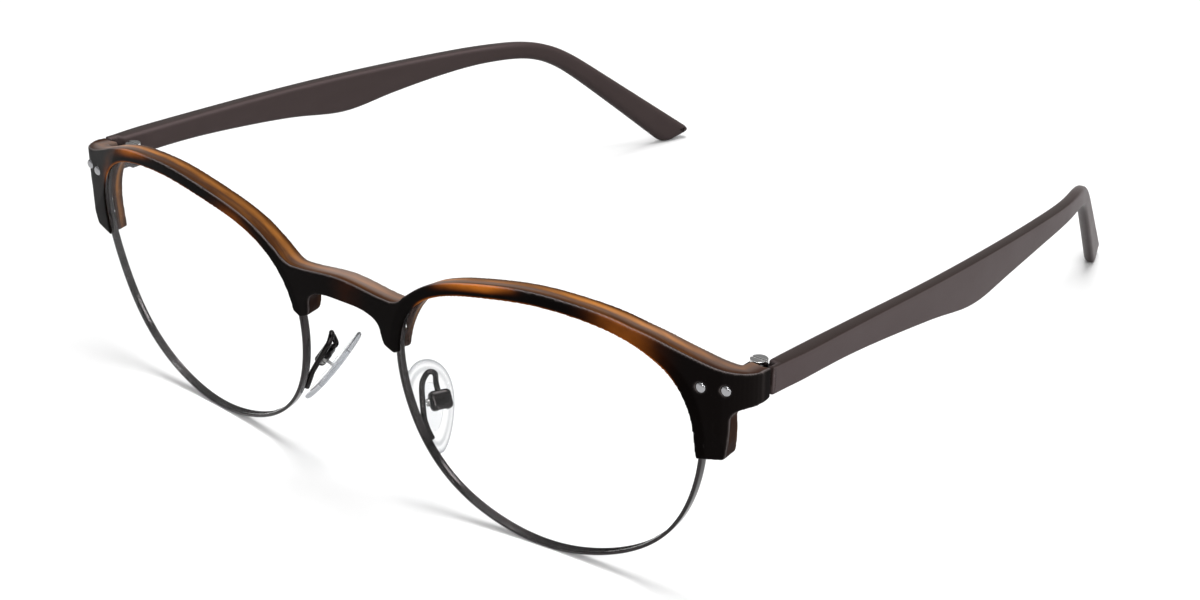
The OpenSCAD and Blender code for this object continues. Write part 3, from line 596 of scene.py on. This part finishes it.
gunmetal = metal("gunmetal_finish", dark=(0.016, 0.014, 0.014), light=(0.050, 0.045, 0.046),
                 rough=0.13, depth=0.0002)
dark_metal = metal("dark_gunmetal_finish", dark=(0.008, 0.007, 0.007), light=(0.030, 0.027, 0.027),
                   rough=0.11, depth=0.0002)
steel = metal("steel_finish", dark=(0.17, 0.167, 0.164), light=(0.28, 0.277, 0.274),
              rough=0.26, depth=0.001)
satin = metal("satin_steel_finish", dark=(0.45, 0.447, 0.443), light=(0.72, 0.716, 0.71),
              rough=0.16, depth=0.001)
bright = metal("bright_steel_finish", dark=(0.26, 0.26, 0.27), light=(0.34, 0.34, 0.35),
               rough=0.07, depth=0.0003)
print(sum(m.name.endswith("_finish") for m in bpy.data.materials), "finishes so far")

# %% [markdown]
# ## Clear finishes
# The lenses, the silicone pads and their stiff inserts are clear. Real clear plastic throws almost no
# shadow, so the lamps see it as plainly transparent. The lens bends light very little here, because a thin
# lens with parallel faces hardly shifts what is behind it. Painted shade lines darken the border of a pad,
# where its clear edge bends the light.

# %% Clear plastics
# The clear tint of a pad, and the dark colour of the painted shade lines on its border.
RIM_LIGHT, PAINTED_BORDER_SHADE = (0.935, 0.937, 0.94), (0.36, 0.37, 0.39)


def clear(name, tint, rough, ior, size, depth, polish=0.0):
    """Clear plastic that lets lamp light through, so that it throws no dark shadow."""
    mat, tree, shader = new_finish(name)
    shader.inputs["Base Color"].default_value = tint + (1,)
    shader.inputs["Transmission Weight"].default_value = 1
    shader.inputs["IOR"].default_value = ior
    shader.inputs["Coat Weight"].default_value = polish
    haze = noise(tree, size, detail=3)
    tree.links.new(spread(tree, haze, 0.3, 0.75, *rough), shader.inputs["Roughness"])
    add_bump(tree, shader, haze, depth)
    through = node_of(tree, "ShaderNodeBsdfTransparent")
    path = node_of(tree, "ShaderNodeLightPath")
    through.inputs["Color"].default_value = tint + (1,)
    tree.links.new(joined(tree, path.outputs["Is Shadow Ray"], shader.outputs[0], through.outputs[0]),
                   tree.nodes["Material Output"].inputs["Surface"])
    return mat


lens_mat = clear("clear_lens_finish", tint=(1, 1, 1), rough=(0.0, 0.004), ior=1.01,
                 size=9, depth=0.0, polish=0.2)
silicone = clear("clear_silicone_finish", tint=(0.95, 0.955, 0.96), rough=(0.04, 0.10), ior=1.15,
                 size=1.2, depth=0.002)
stiff = clear("clear_insert_finish", tint=(0.93, 0.94, 0.95), rough=(0.04, 0.10), ior=1.2,
              size=1.0, depth=0.002)
t = silicone.node_tree
# The pad's border lines are painted shade.
t.links.new(blend(t, attribute(t, "rim"), RIM_LIGHT, PAINTED_BORDER_SHADE),
            t.nodes["Principled BSDF"].inputs["Base Color"])
print(sum(m.name.endswith("_finish") for m in bpy.data.materials), "finishes in all")

# %% [markdown]
# ## Brow bar
# The bar is milled from the laminated sheet and then tumbled, which rounds its edges. The CAD copy is
# melted and smoothed for that, and melted once more into larger even cells, so that values stored in its
# points change smoothly. Every point is then told how deep it lies behind the black skin. The front is
# bowed over the eyes, turns back at the end pieces and ends in a rounded corner.

# %% Layers of the brow bar
END_X, EYE_EDGE = 66.4692, 59.9692
WRAP_Y, WRAP_TURN = 4.16526, math.radians(20)
CORNER_Y, CORNER_RUN, CORNER_R = 6.53107, 3.85114, 5.5
PROUD = 0.45

brow = softened("brow_bar", "brow_bar_acetate", 0.1, 10, even=0.19)
bar = points_of(brow.data)
side, x = bar[:, 0], np.abs(bar[:, 0])
y, z = bar[:, 1] + MID_Y, bar[:, 2] - FRONT_Z
y_front = y * math.cos(TILT) + z * math.sin(TILT)
z_front = z * math.cos(TILT) - y * math.sin(TILT)
straight = WRAP_Y + (x - EYE_EDGE) * math.tan(WRAP_TURN)
past_corner = np.maximum(x - END_X + CORNER_R, 0)
rounded = CORNER_Y + CORNER_RUN - np.sqrt(np.maximum(CORNER_R**2 - past_corner**2, 0))
wrap = np.where(x <= END_X - CORNER_RUN * math.cos(WRAP_TURN), straight, rounded)
deep = np.minimum(np.minimum(y_front - bow(x) + PROUD, y - wrap), END_X - x)
give(brow.data, "layer_depth", deep)
print("brow bar", len(brow.data.polygons), "faces")

# %% [markdown]
# ## Amber in the skin
# Tortoise acetate has clouds of amber in a dark ground. Each cloud is a soft spot here, given by its place
# along the bar, its half width and its strength. Some lie along the upper edge and some near the lens. A
# thin fringe along the lower lip, where the sheet is cut thin, is partly the amber layer and partly a
# painted glow of light shining through the thin acetate.

# %% Amber clouds
HIGH_CLOUDS = ((27.5, 4, 1.0), (21.5, 3, 0.4), (33, 2, 0.15), (-46.5, 5, 0.6))
WHOLE_CLOUDS = ((49.5, 5.5, 0.37),)
BRIDGE_CLOUDS = ((1.5, 3.5, 0.15),)
LOW_CLOUDS = ((-21, 5, 0.35), (-56, 3, 0.25))
FRINGE_CLOUDS = ((51, 5, 0.3),)
FRINGE, FRINGE_LIP, FRINGE_WIDE = 0.55, 0.05, 0.3
LIP_SHIFT, FOOT_TOP = 1.05, 8


def ramp(value):
    return np.clip(value, 0, 1)


def clouds(spots):
    """Soft spots along the bar, as centre, half width and strength."""
    return sum(s * np.exp(-((side - c) / w) ** 2) for c, w, s in spots)


lip = np.hypot(x - EYE_X, z_front) - eye_radius(np.arctan2(z_front, x - EYE_X)) + LIP_SHIFT
over_eye = ramp(np.minimum(np.minimum(x - 14, 58 - x) / 2, (z_front - FOOT_TOP) / 3))
above_feet = ramp((z_front - FOOT_TOP) / 5)
low_glow = np.clip(1.25 - 0.4 * np.clip(lip, 0, 3), 0, 1.2)
high_glow = ramp((lip - 0.6) / 1.3)
# The lip fringe is partly amber layer and partly a painted glow of light through the thin acetate.
lip_amber_and_glow = (FRINGE + clouds(FRINGE_CLOUDS)) * np.exp(-((lip - FRINGE_LIP) / FRINGE_WIDE) ** 2) * over_eye
amber = high_glow * clouds(HIGH_CLOUDS)
amber += above_feet * clouds(WHOLE_CLOUDS) + clouds(BRIDGE_CLOUDS)
amber += above_feet * low_glow * clouds(LOW_CLOUDS)
amber = np.maximum(amber, lip_amber_and_glow)
give(brow.data, "amber", amber)
print("amber on", round(100 * float((amber > 0.2).mean())), "percent of the points")

# %% [markdown]
# ## Painted shade, sheen and edge highlight
# Painted shade darkens the layers in the feet, at the end pieces, on the back and in the strip where the
# eyewire sits. A painted sheen on the top of the bar stands in for the overhead lamp's reflection,
# stronger in some places than in others. A thin painted highlight marks the edge between the skin
# and the layers.

# %% Painted shade, sheen and edge highlight
SHEEN = ((-62, 0.22), (-52, 0.3), (-42, 0.25), (-32, 0.12), (-12, 0.05), (-4, 0.4), (6, 0.36),
         (12, 0.3), (18, 0.6), (36, 0.6), (44, 0.3), (56, 0.12), (62, 0.16))
SEAT_FROM, SEAT_TO = 0.9, 2.7
BACK_FROM, DARKEST, END_SHADE = 3.5, 0.93, 0.7
EDGE_STRENGTH, EDGE_DEPTH, EDGE_WIDE = 0.7, 0.2, 0.1

inside = ramp((1.4 - lip) / 0.3)
seat = inside * ramp(np.minimum(deep - SEAT_FROM, SEAT_TO - deep) / 0.3)
feet = np.maximum((7 - z) / 3, np.minimum((16 - x) / 2, (13 - z) / 3)) * (1 - 0.6 * inside)
end_pieces = np.minimum((x - 58) / 4, END_SHADE)
back_face = (deep - BACK_FROM) / 0.5
# Painted shade: the layers darken in the feet, at the end pieces, on the back face and in the eyewire seat.
dark = np.clip(np.maximum.reduce([feet, end_pieces, back_face, seat]), 0, DARKEST)
give(brow.data, "dark", dark)
# Painted sheen: a beige reflection of the overhead lamp painted on the top face, its strength given along
# the bar.
top_face = above_feet * ramp((lip - 1.6) / 0.6) * ramp((deep - 0.9) / 0.8)
give(brow.data, "sheen", top_face * np.interp(side, *zip(*SHEEN)))
# Painted highlight: a thin light line on the upper edge where the skin meets the layers.
edge_highlight_mask = ramp((lip - 1.5) / 0.4) * np.exp(-((deep - EDGE_DEPTH) / EDGE_WIDE) ** 2)
give(brow.data, "edge", EDGE_STRENGTH * edge_highlight_mask)
fit(brow, "brow_bar", brow_mat)
print("shaded", round(100 * float((dark > 0.5).mean())), "percent of the points")

# %% [markdown]
# ## Outline of a temple
# A temple is cut from sheet, shot through with a core wire, tumbled and bent over a hot mould. To round
# its edges in a controlled way, the CAD piece is sliced like bread and measured. The slices give its outline
# from the side and its two faces. They are smoothed along the temple, except at the very tip.

# %% Outline of a temple
TEMPLE_STEPS = 400
SLICE, TIP_SLICES, TIP_RUN = 0.7, 90, 9
EVEN_OVER, EVEN_END, EVEN_RAMP = 1.6, 12, 3


def slices_of(node, stations):
    """Lowest and highest x and z of a CAD piece in upright slices across y, in millimetres."""
    mesh = nodes[node].data
    mesh.calc_loop_triangles()
    triangles = points_of(mesh)[[list(tri.vertices) for tri in mesh.loop_triangles]]
    rows = []
    for at in stations:
        found = []
        for i, j in ((0, 1), (1, 2), (2, 0)):
            p, q = triangles[:, i], triangles[:, j]
            cut = (p[:, 1] - at) * (q[:, 1] - at) < 0
            share = ((at - p[cut, 1]) / (q[cut, 1] - p[cut, 1]))[:, None]
            found.append(p[cut] + share * (q[cut] - p[cut]))
        found = np.concatenate(found)
        rows.append((found[:, 0].min(), found[:, 0].max(), found[:, 2].min(), found[:, 2].max()))
    return np.array(rows)


def evened(values, stations, until):
    """Values smoothed along the temple, with both ends left as they are."""
    apart = (stations[:, None] - stations[None, :]) / EVEN_OVER
    weights = np.exp(-0.5 * apart**2) * np.gradient(stations)[None, :]
    smooth = weights @ values / weights.sum(1)
    from_end = np.minimum(np.minimum(stations - stations[0], EVEN_RAMP), np.maximum(until - stations, 0))
    return values + (smooth - values) * np.clip(from_end / EVEN_RAMP, 0, 1)


def even_steps(line, count):
    """The same line with its points at even distances."""
    run = np.concatenate([[0], np.cumsum(np.hypot(*np.diff(line, axis=0).T))])
    marks = np.linspace(0, run[-1], count)
    return np.stack([np.interp(marks, run, line[:, i]) for i in range(2)], 1)


hinge_end, tip_end = [c[1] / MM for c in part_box("left_temple")]
stations = np.concatenate([[hinge_end + 0.01, hinge_end + 0.2],
                           np.arange(hinge_end + 0.8, tip_end - TIP_RUN, SLICE),
                           tip_end - TIP_RUN * np.linspace(1, 0.02, TIP_SLICES) ** 2])
cuts = slices_of("left_temple", stations)
x_in, x_out, z_low, z_top = [evened(c, stations, tip_end - EVEN_END) for c in cuts.T]
start = (stations[0], (z_low[0] + z_top[0]) / 2)
end = (tip_end, (z_low[-1] + z_top[-1]) / 2)
upper, lower = [even_steps(np.array([start, *zip(stations, line), end]), TEMPLE_STEPS)
                for line in (z_top, z_low)]
outline = np.concatenate([upper, lower[-2:0:-1]])
print("temple outline of", len(outline), "points from", len(stations), "slices")

# %% [markdown]
# ## Edges of a temple
# A rounded edge is now carried round the outline. The outer edge stays fairly crisp and the inner one is
# well rounded, and both get rounder towards the bend and the tip. A small notch by the hinge leaves room
# for the leaf. Each point also stores how much of the lit face colour it shows, as painted light and
# shade: a painted dark band along the top, and a painted light line at its inner edge.

# %% Edges of a temple
CRISP, SOFT, BENT_CRISP, BENT_SOFT = 0.2, 0.7, 0.8, 1.15
EDGE_SUPPORT, ARC_STEPS = 0.4, 5
NOTCH_RUN, NOTCH_DEEP = 2.2, 1.25
CREASE_END, CREASE_RAMP, BEND_FROM, BEND_RAMP = 35, 12, 50, 22
INNER_LIT_SHARE = ((0.6, -0.35), (0.6, -0.2), (0.58, 0.3), (0.54, 0.46), (0.54, 0.16), (0.52, 0), (0.52, 0))


def edge_arc(radius):
    """Steps across and inward round one edge, from the face to the rim."""
    turns = [k * math.pi / 2 / ARC_STEPS for k in range(ARC_STEPS + 1)]
    return [(0, radius + EDGE_SUPPORT)] + [(radius * (1 - math.cos(v)), radius * (1 - math.sin(v)))
                                           for v in turns]


along = np.roll(outline, -1, 0) - np.roll(outline, 1, 0)
inward = np.stack([along[:, 1], -along[:, 0]], 1) / np.hypot(*along.T)[:, None]
on_top = np.arange(len(outline)) < TEMPLE_STEPS
# Painted shade along the top of the temple, up to the bend.
painted_top_shade = ramp((tip_end - CREASE_END - outline[:, 0]) / CREASE_RAMP) * on_top
bent = ramp((outline[:, 0] - tip_end + BEND_FROM) / BEND_RAMP)
temple_rows, lit_share_per_point = [], []
for spot, normal, shaded, bend in zip(outline, inward, painted_top_shade, bent):
    row = []
    for across, step in edge_arc(CRISP + (BENT_CRISP - CRISP) * bend):
        edge_y, edge_z = spot + step * normal
        row.append((np.interp(edge_y, stations, x_out) - across, edge_y, edge_z))
    for across, step in edge_arc(SOFT + (BENT_SOFT - SOFT) * bend)[::-1]:
        edge_y, edge_z = spot + step * normal
        notch = NOTCH_DEEP if edge_y < hinge_end + NOTCH_RUN else 0
        row.append((np.interp(edge_y, stations, x_in) + notch + across, edge_y, edge_z))
    temple_rows.append(row)
    # A painted shade band on the top edge, and painted light lines at the inner top edge.
    rim = 0.6 - 0.57 * shaded
    lit_share_per_point += [1, 1, 0.95, 0.6, max(rim, 0.2), rim, rim]
    lit_share_per_point += [share + change * shaded for share, change in INNER_LIT_SHARE]
print("each edge point carries", len(temple_rows[0]), "points across")

# %% [markdown]
# ## Both temples
# The rows of points are closed to a band round the edge, and the two flat faces are filled with strips
# from the upper line to the lower one. The core wire runs inside and is not seen, but it stays in the
# model because the real temple needs it to hold its bend.

# %% Both temples
wide, total = len(temple_rows[0]), len(temple_rows)
temple_faces = []
for k in range(total):
    here, after = k * wide, (k + 1) % total * wide
    temple_faces += [(here + j, here + j + 1, after + j + 1, after + j) for j in range(wide - 1)]
for j in (0, wide - 1):
    for k in range(TEMPLE_STEPS - 1):
        strip = dict.fromkeys([k, k + 1, total - k - 1, (total - k) % total])
        temple_faces.append(tuple(c * wide + j for c in strip))
temple_points = [q for row in temple_rows for q in row]
for name, sign in SIDES:
    temple = mesh_from(name + "_temple_acetate", mirrored(temple_points, sign), temple_faces)
    give(temple.data, "face", lit_share_per_point)
    fit(temple, name + "_temple", temple_mat)
    coat(name + "_temple_core", steel)
print("temple", len(temple.data.polygons), "faces")

# %% [markdown]
# ## Eyewires
# Rim wire is drawn with a groove on its inside for the lens edge, then bent round the eye shape and closed
# by a screw. The wire's profile, with its narrow rounded edges, is carried along the eye formula here,
# which keeps the highlight along the wire smooth. A small gap stays open where the wire is closed.

# %% Wire round the eye
PROFILE = ((0.12, 0), (0.05, 0.05), (0.01, 0.16), (0, 0.35), (0, 0.7), (0, 1.05), (0.01, 1.24),
           (0.05, 1.35), (0.12, 1.4), (0.43, 1.4), (0.5, 1.38), (0.54, 1.32), (0.55, 1.24), (0.55, 1.09),
           (0.53, 1.04), (0.29, 0.8), (0.27, 0.75), (0.27, 0.65), (0.29, 0.6), (0.53, 0.36), (0.55, 0.31),
           (0.55, 0.16), (0.54, 0.08), (0.5, 0.02), (0.43, 0))
SPLIT = math.radians(9.5)
HALF_GAP, WIRE_STEPS, TINY = 0.15, 361, 1e-4

half_turn = HALF_GAP / float(eye_radius(SPLIT))
angles = np.linspace(SPLIT + half_turn, SPLIT + 2 * math.pi - half_turn, WIRE_STEPS)
wire_points = []
for a in angles:
    spot = eye_point(a)
    run = eye_point(a + TINY) - eye_point(a - TINY)
    outward = np.array([run[1], -run[0]]) / np.hypot(*run)
    for thick, behind in PROFILE:
        q = spot - outward * thick
        wire_points.append((q[0], float(bow(spot[0])) + behind, q[1]))
wire_faces = ring_faces(len(angles), len(PROFILE))
print("wire of", len(angles), "rings")

# %% [markdown]
# ## Closing blocks
# Two small blocks are soldered to the wire on both sides of the gap, and the rim screw draws them together
# round the lens. A third one by the nose takes the screw of the bar. They are cubes with bevelled edges,
# and they are added to the points of the wire before both eyewires are made.

# %% Closing blocks and both eyewires
TAB_AT = math.radians(162)
LUG_Y, LUG_DEEP, TAB_Y, TAB_DEEP = 0.3, 1.5, 0.45, 0.9


def block(low, high, edge):
    """Small block in the front frame, with rounded edges."""
    work = bmesh.new()
    bmesh.ops.create_cube(work, size=1)
    for v in work.verts:
        v.co = [low[i] + (v.co[i] + 0.5) * (high[i] - low[i]) for i in range(3)]
    bmesh.ops.bevel(work, geom=work.edges[:], offset=edge, segments=3, profile=0.5, affect="EDGES")
    corners = [tuple(v.co) for v in work.verts]
    sides = [tuple(v.index for v in f.verts) for f in work.faces]
    work.free()
    return corners, sides


lug, tab = eye_point(SPLIT), eye_point(TAB_AT)
lug_y, tab_y = float(bow(lug[0])) + LUG_Y, float(bow(tab[0])) + TAB_Y
for low, high, edge in (
        ((lug[0] - 0.4, lug_y, lug[1] + 0.15), (lug[0] + 1.9, lug_y + LUG_DEEP, lug[1] + 2.1), 0.12),
        ((lug[0] - 0.4, lug_y, lug[1] - 1.7), (lug[0] + 1.9, lug_y + LUG_DEEP, lug[1] - 0.15), 0.12),
        ((tab[0] - 1.9, tab_y, tab[1] - 1.1), (tab[0] + 0.3, tab_y + TAB_DEEP, tab[1] + 1.1), 0.1)):
    block_points, block_faces = block(low, high, edge)
    wire_faces += [tuple(i + len(wire_points) for i in f) for f in block_faces]
    wire_points += block_points
wire_points = [from_front(*q) for q in wire_points]
for name, sign in SIDES:
    wire = mesh_from(name + "_eyewire_band", mirrored(wire_points, sign), wire_faces)
    fit(wire, name + "_eyewire", gunmetal)
print("eyewire", len(wire.data.polygons), "faces")

# %% [markdown]
# ## Rivets
# The two silver rivets on each end piece hold the hinge leaf behind it. Their heads are turned and
# polished, so a curve is spun round the rivet's axis. The curve is given as shares of the head's radius,
# with the depth behind the front of the CAD head.

# %% Rivets
HEAD_GROW, RIVET_SIDES, POINT_R = 1.07, 40, 0.02
DOME_TOP, HEAD_BACK = -0.1, 0.45
DOME = ((0.25, -0.093), (0.5, -0.072), (0.7, -0.03), (0.84, 0.03), (0.93, 0.11), (0.98, 0.2), (1, 0.33),
        (0.97, 0.43))
SHANK_R, SHANK_END_R, SHANK_ROUND, SHANK_END = 0.5, 0.42, 0.15, 0.03

for node in [name + "_rivet_" + which for name, sign in SIDES for which in ("inner", "outer")]:
    low, high = [Vector(c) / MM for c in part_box(node)]
    mid_x, mid_z = (low.x + high.x) / 2, (low.z + high.z) / 2
    head_r = (high.x - low.x) / 2 * HEAD_GROW
    curve = [(POINT_R, low.y + DOME_TOP)] + [(share * head_r, low.y + behind) for share, behind in DOME]
    curve += [(SHANK_R, low.y + HEAD_BACK), (SHANK_R, high.y - SHANK_ROUND),
              (SHANK_END_R, high.y - SHANK_END), (POINT_R, high.y)]
    turns = [2 * math.pi * k / RIVET_SIDES for k in range(RIVET_SIDES)]
    points = [(mid_x + r * math.cos(v), behind, mid_z + r * math.sin(v))
              for r, behind in curve for v in turns]
    rivet = mesh_from(node + "_polished", points, ring_faces(len(curve), RIVET_SIDES))
    fit(rivet, node, bright)
print("rivet", len(rivet.data.polygons), "faces")

# %% [markdown]
# ## Screws and hinge leaves
# The hinge screws keep their slots, with soft edges. The small screws of the rims, the bar and the pads are
# turned from steel. Each hinge has a leaf on the end piece and one let into the temple, with knuckles that
# mesh round the screw. The leaves are stamped, so their edges are only slightly rounded.

# %% Screws and hinge leaves
SMALL_METAL = (("hinge_screw", "_polished", 0.04, 4, 0.5, satin),
               ("rim_screw", "_turned", 0.03, 3, 0.5, dark_metal),
               ("brow_screw", "_turned", 0.03, 3, 0.5, dark_metal),
               ("pad_screw", "_turned", 0.03, 3, 0.5, steel),
               ("hinge_front", "_stamped", 0.06, 3, 0.4, gunmetal),
               ("hinge_temple", "_stamped", 0.06, 3, 0.4, gunmetal))

for name, sign in SIDES:
    for part, ending, cell, passes, keep, finish in SMALL_METAL:
        node = name + "_" + part
        piece = softened(node, node + ending, cell, passes, keep)
        fit(piece, node, finish)
        print(node, len(piece.data.polygons), "faces")

# %% [markdown]
# ## Pad arms
# A thin wire is soldered to the back of the eyewire, loops up and ends in a small box that holds the pad.
# A curve is led through a few measured points, and a ring of points is set across it at every step.

# %% Pad arms
ARM_ROUTE = ((13.084, 3.016, 10.417), (12.464, 2.895, 11.532), (11.914, 2.869, 12.697),
             (11.431, 3.038, 13.916), (10.054, 4.263, 17.104), (9.704, 5.063, 18.404),
             (10.004, 5.913, 19.354), (10.604, 6.563, 19.004), (10.305, 7.034, 17.323),
             (10.812, 6.764, 16.546), (10.95, 6.69, 16.33))
ARM_R, ARM_SIDES, ARM_STEPS, ARM_END = 0.44, 16, 6, 0.75
ARM_SIDEWAYS = (0.3, 1, 0.2)


def smooth_route(route, steps):
    """Points along a curve that passes through every point of the route."""
    p = np.array([route[0], *route, route[-1]])
    found = []
    for i in range(1, len(p) - 2):
        for k in range(steps):
            f = k / steps
            found.append(0.5 * (2 * p[i] + (p[i + 1] - p[i - 1]) * f
                                + (2 * p[i - 1] - 5 * p[i] + 4 * p[i + 1] - p[i + 2]) * f**2
                                + (3 * p[i] - p[i - 1] - 3 * p[i + 1] + p[i + 2]) * f**3))
    return np.array(found + [p[-1]])


arm_line = smooth_route(ARM_ROUTE, ARM_STEPS)
last = len(arm_line) - 1
arm_points = []
for i, spot in enumerate(arm_line):
    run = arm_line[min(i + 1, last)] - arm_line[max(i - 1, 0)]
    across = np.cross(run, ARM_SIDEWAYS)
    across /= np.linalg.norm(across)
    other = np.cross(run / np.linalg.norm(run), across)
    thick = ARM_R * (ARM_END if i in (0, last) else 1)
    for k in range(ARM_SIDES):
        v = 2 * math.pi * k / ARM_SIDES
        q = spot + thick * (math.cos(v) * across + math.sin(v) * other)
        arm_points.append((q[0], q[1] - MID_Y, q[2]))
for name, sign in SIDES:
    arm = mesh_from(name + "_pad_arm_wire", mirrored(arm_points, sign),
                    ring_faces(len(arm_line), ARM_SIDES))
    fit(arm, name + "_pad_arm", dark_metal)
print("pad arm", len(arm.data.polygons), "faces")

# %% [markdown]
# ## Pad boxes
# The box at the arm's end is cast with very round corners. It is turned to lie straight first. Every point
# of its mesh that lies outside the rounded box is then pulled straight in to it, so the slot inside stays
# as it is.

# %% Pad boxes
BOX_ROUND, BOX_GROW = 0.75, np.array((1.08, 1.12, 1.0))
TINIEST = 1e-6
pad_hold = (Matrix.Translation((10.3, 6.3 - MID_Y, 13.3325)) @ Matrix.Rotation(math.radians(62), 4, "Z")
            @ Matrix.Rotation(math.radians(53.5), 4, "X"))

for name, sign in SIDES:
    holder = softened(name + "_pad_box", name + "_pad_box_cast", 0.05, 3, 0.5)
    laid = np.array([pad_hold.inverted() @ Vector(q) for q in mirrored(points_of(holder.data), sign)])
    middle = (laid.min(0) + laid.max(0)) / 2
    laid = middle + (laid - middle) * BOX_GROW
    core = np.clip(laid, laid.min(0) + BOX_ROUND, laid.max(0) - BOX_ROUND)
    reach = np.linalg.norm(laid - core, axis=1, keepdims=True)
    laid = core + (laid - core) * np.minimum(1, BOX_ROUND / np.maximum(reach, TINIEST))
    for vertex, spot in zip(holder.data.vertices, laid):
        turned = pad_hold @ Vector(spot) * MM
        vertex.co = (sign * turned.x, turned.y, turned.z)
    fit(holder, name + "_pad_box", dark_metal)
print("pad box", len(holder.data.polygons), "faces")

# %% [markdown]
# ## Nose pads
# The pads are clear silicone, moulded round a stiff insert that clicks into the box. A pad is a soft
# teardrop, wider at the top, bent to lie on the side of the nose, with a thin raised border. It is drawn
# as rings from the middle of one face over the border to the middle of the other, and each ring knows how
# dark its painted shade line is.

# %% Nose pads
PAD_LEN, PAD_W, PAD_T, PAD_BEND, PAD_TAPER = 14.3, 6.9, 1.0, 74, 0.34
PAD_SIDE, PAD_RISE, PAD_APEX, BOX_RISE, BOX_LIFT = -0.16, 0.25, 1.2, 0.65, 2.1
PAD_ROLL, PAD_ROCK, PAD_SIDES = math.radians(-4.4), math.radians(-0.6), 96
PAD_RINGS = ((0.02, 0.47), (0.2, 0.47), (0.4, 0.47), (0.6, 0.47), (0.72, 0.46), (0.78, 0.47), (0.82, 0.5),
             (0.87, 0.5), (0.92, 0.45), (0.96, 0.36), (0.985, 0.23), (1.0, 0.0))
BORDER_LINES = ((0.98, 1), (0.95, 0.8), (0.9, 0.35), (0.83, 0.08), (0.77, 0.55))
PLAIN = 0.08
pad_turn = (pad_hold @ Matrix.Translation((0, BOX_RISE, BOX_LIFT)) @ Matrix.Rotation(PAD_ROCK, 4, "X")
            @ Matrix.Translation((0, -BOX_RISE, -BOX_LIFT)))


def pad_point(out, a, h):
    px = PAD_W / 2 * out * math.cos(a) * (1 + PAD_TAPER * math.sin(a))
    py = PAD_LEN / 2 * out * math.sin(a)
    qx = px * math.cos(PAD_ROLL) - py * math.sin(PAD_ROLL) + PAD_SIDE
    qy = px * math.sin(PAD_ROLL) + py * math.cos(PAD_ROLL) + PAD_RISE
    flat = (qx - PAD_SIDE) ** 2 + (qy - PAD_RISE - PAD_APEX) ** 2
    return Vector((qx, qy, PAD_BEND - math.sqrt(PAD_BEND**2 - flat) + h * PAD_T))


def line_shade(out):
    """How dark the painted shade line on a ring is, from the border inward."""
    return next((shade for past, shade in BORDER_LINES if out > past), PLAIN)


pad_rings = [(out, -h) for out, h in PAD_RINGS] + [(out, h) for out, h in PAD_RINGS[-2::-1]]
pad_points = [pad_turn @ pad_point(out, 2 * math.pi * k / PAD_SIDES, h)
              for out, h in pad_rings for k in range(PAD_SIDES)]
for name, sign in SIDES:
    pad = mesh_from(name + "_nose_pad_soft", mirrored(pad_points, sign),
                    ring_faces(len(pad_rings), PAD_SIDES))
    # Each ring stores how dark its painted shade line is.
    give(pad.data, "rim", np.repeat([line_shade(out) for out, h in pad_rings], PAD_SIDES))
    fit(pad, name + "_nose_pad", silicone)
    coat(name + "_pad_insert", stiff)
print("nose pad", len(pad.data.polygons), "faces")

# %% [markdown]
# ## Lenses
# The lenses are clear and lie in the groove of the wire. The CAD shape is right as it is, so it only gets
# a clear finish. The lamps shine through it, because a clear lens throws almost no shadow.

# %% Lenses
for name, sign in SIDES:
    coat(name + "_lens", lens_mat)
print(len(SIDES), "lenses")
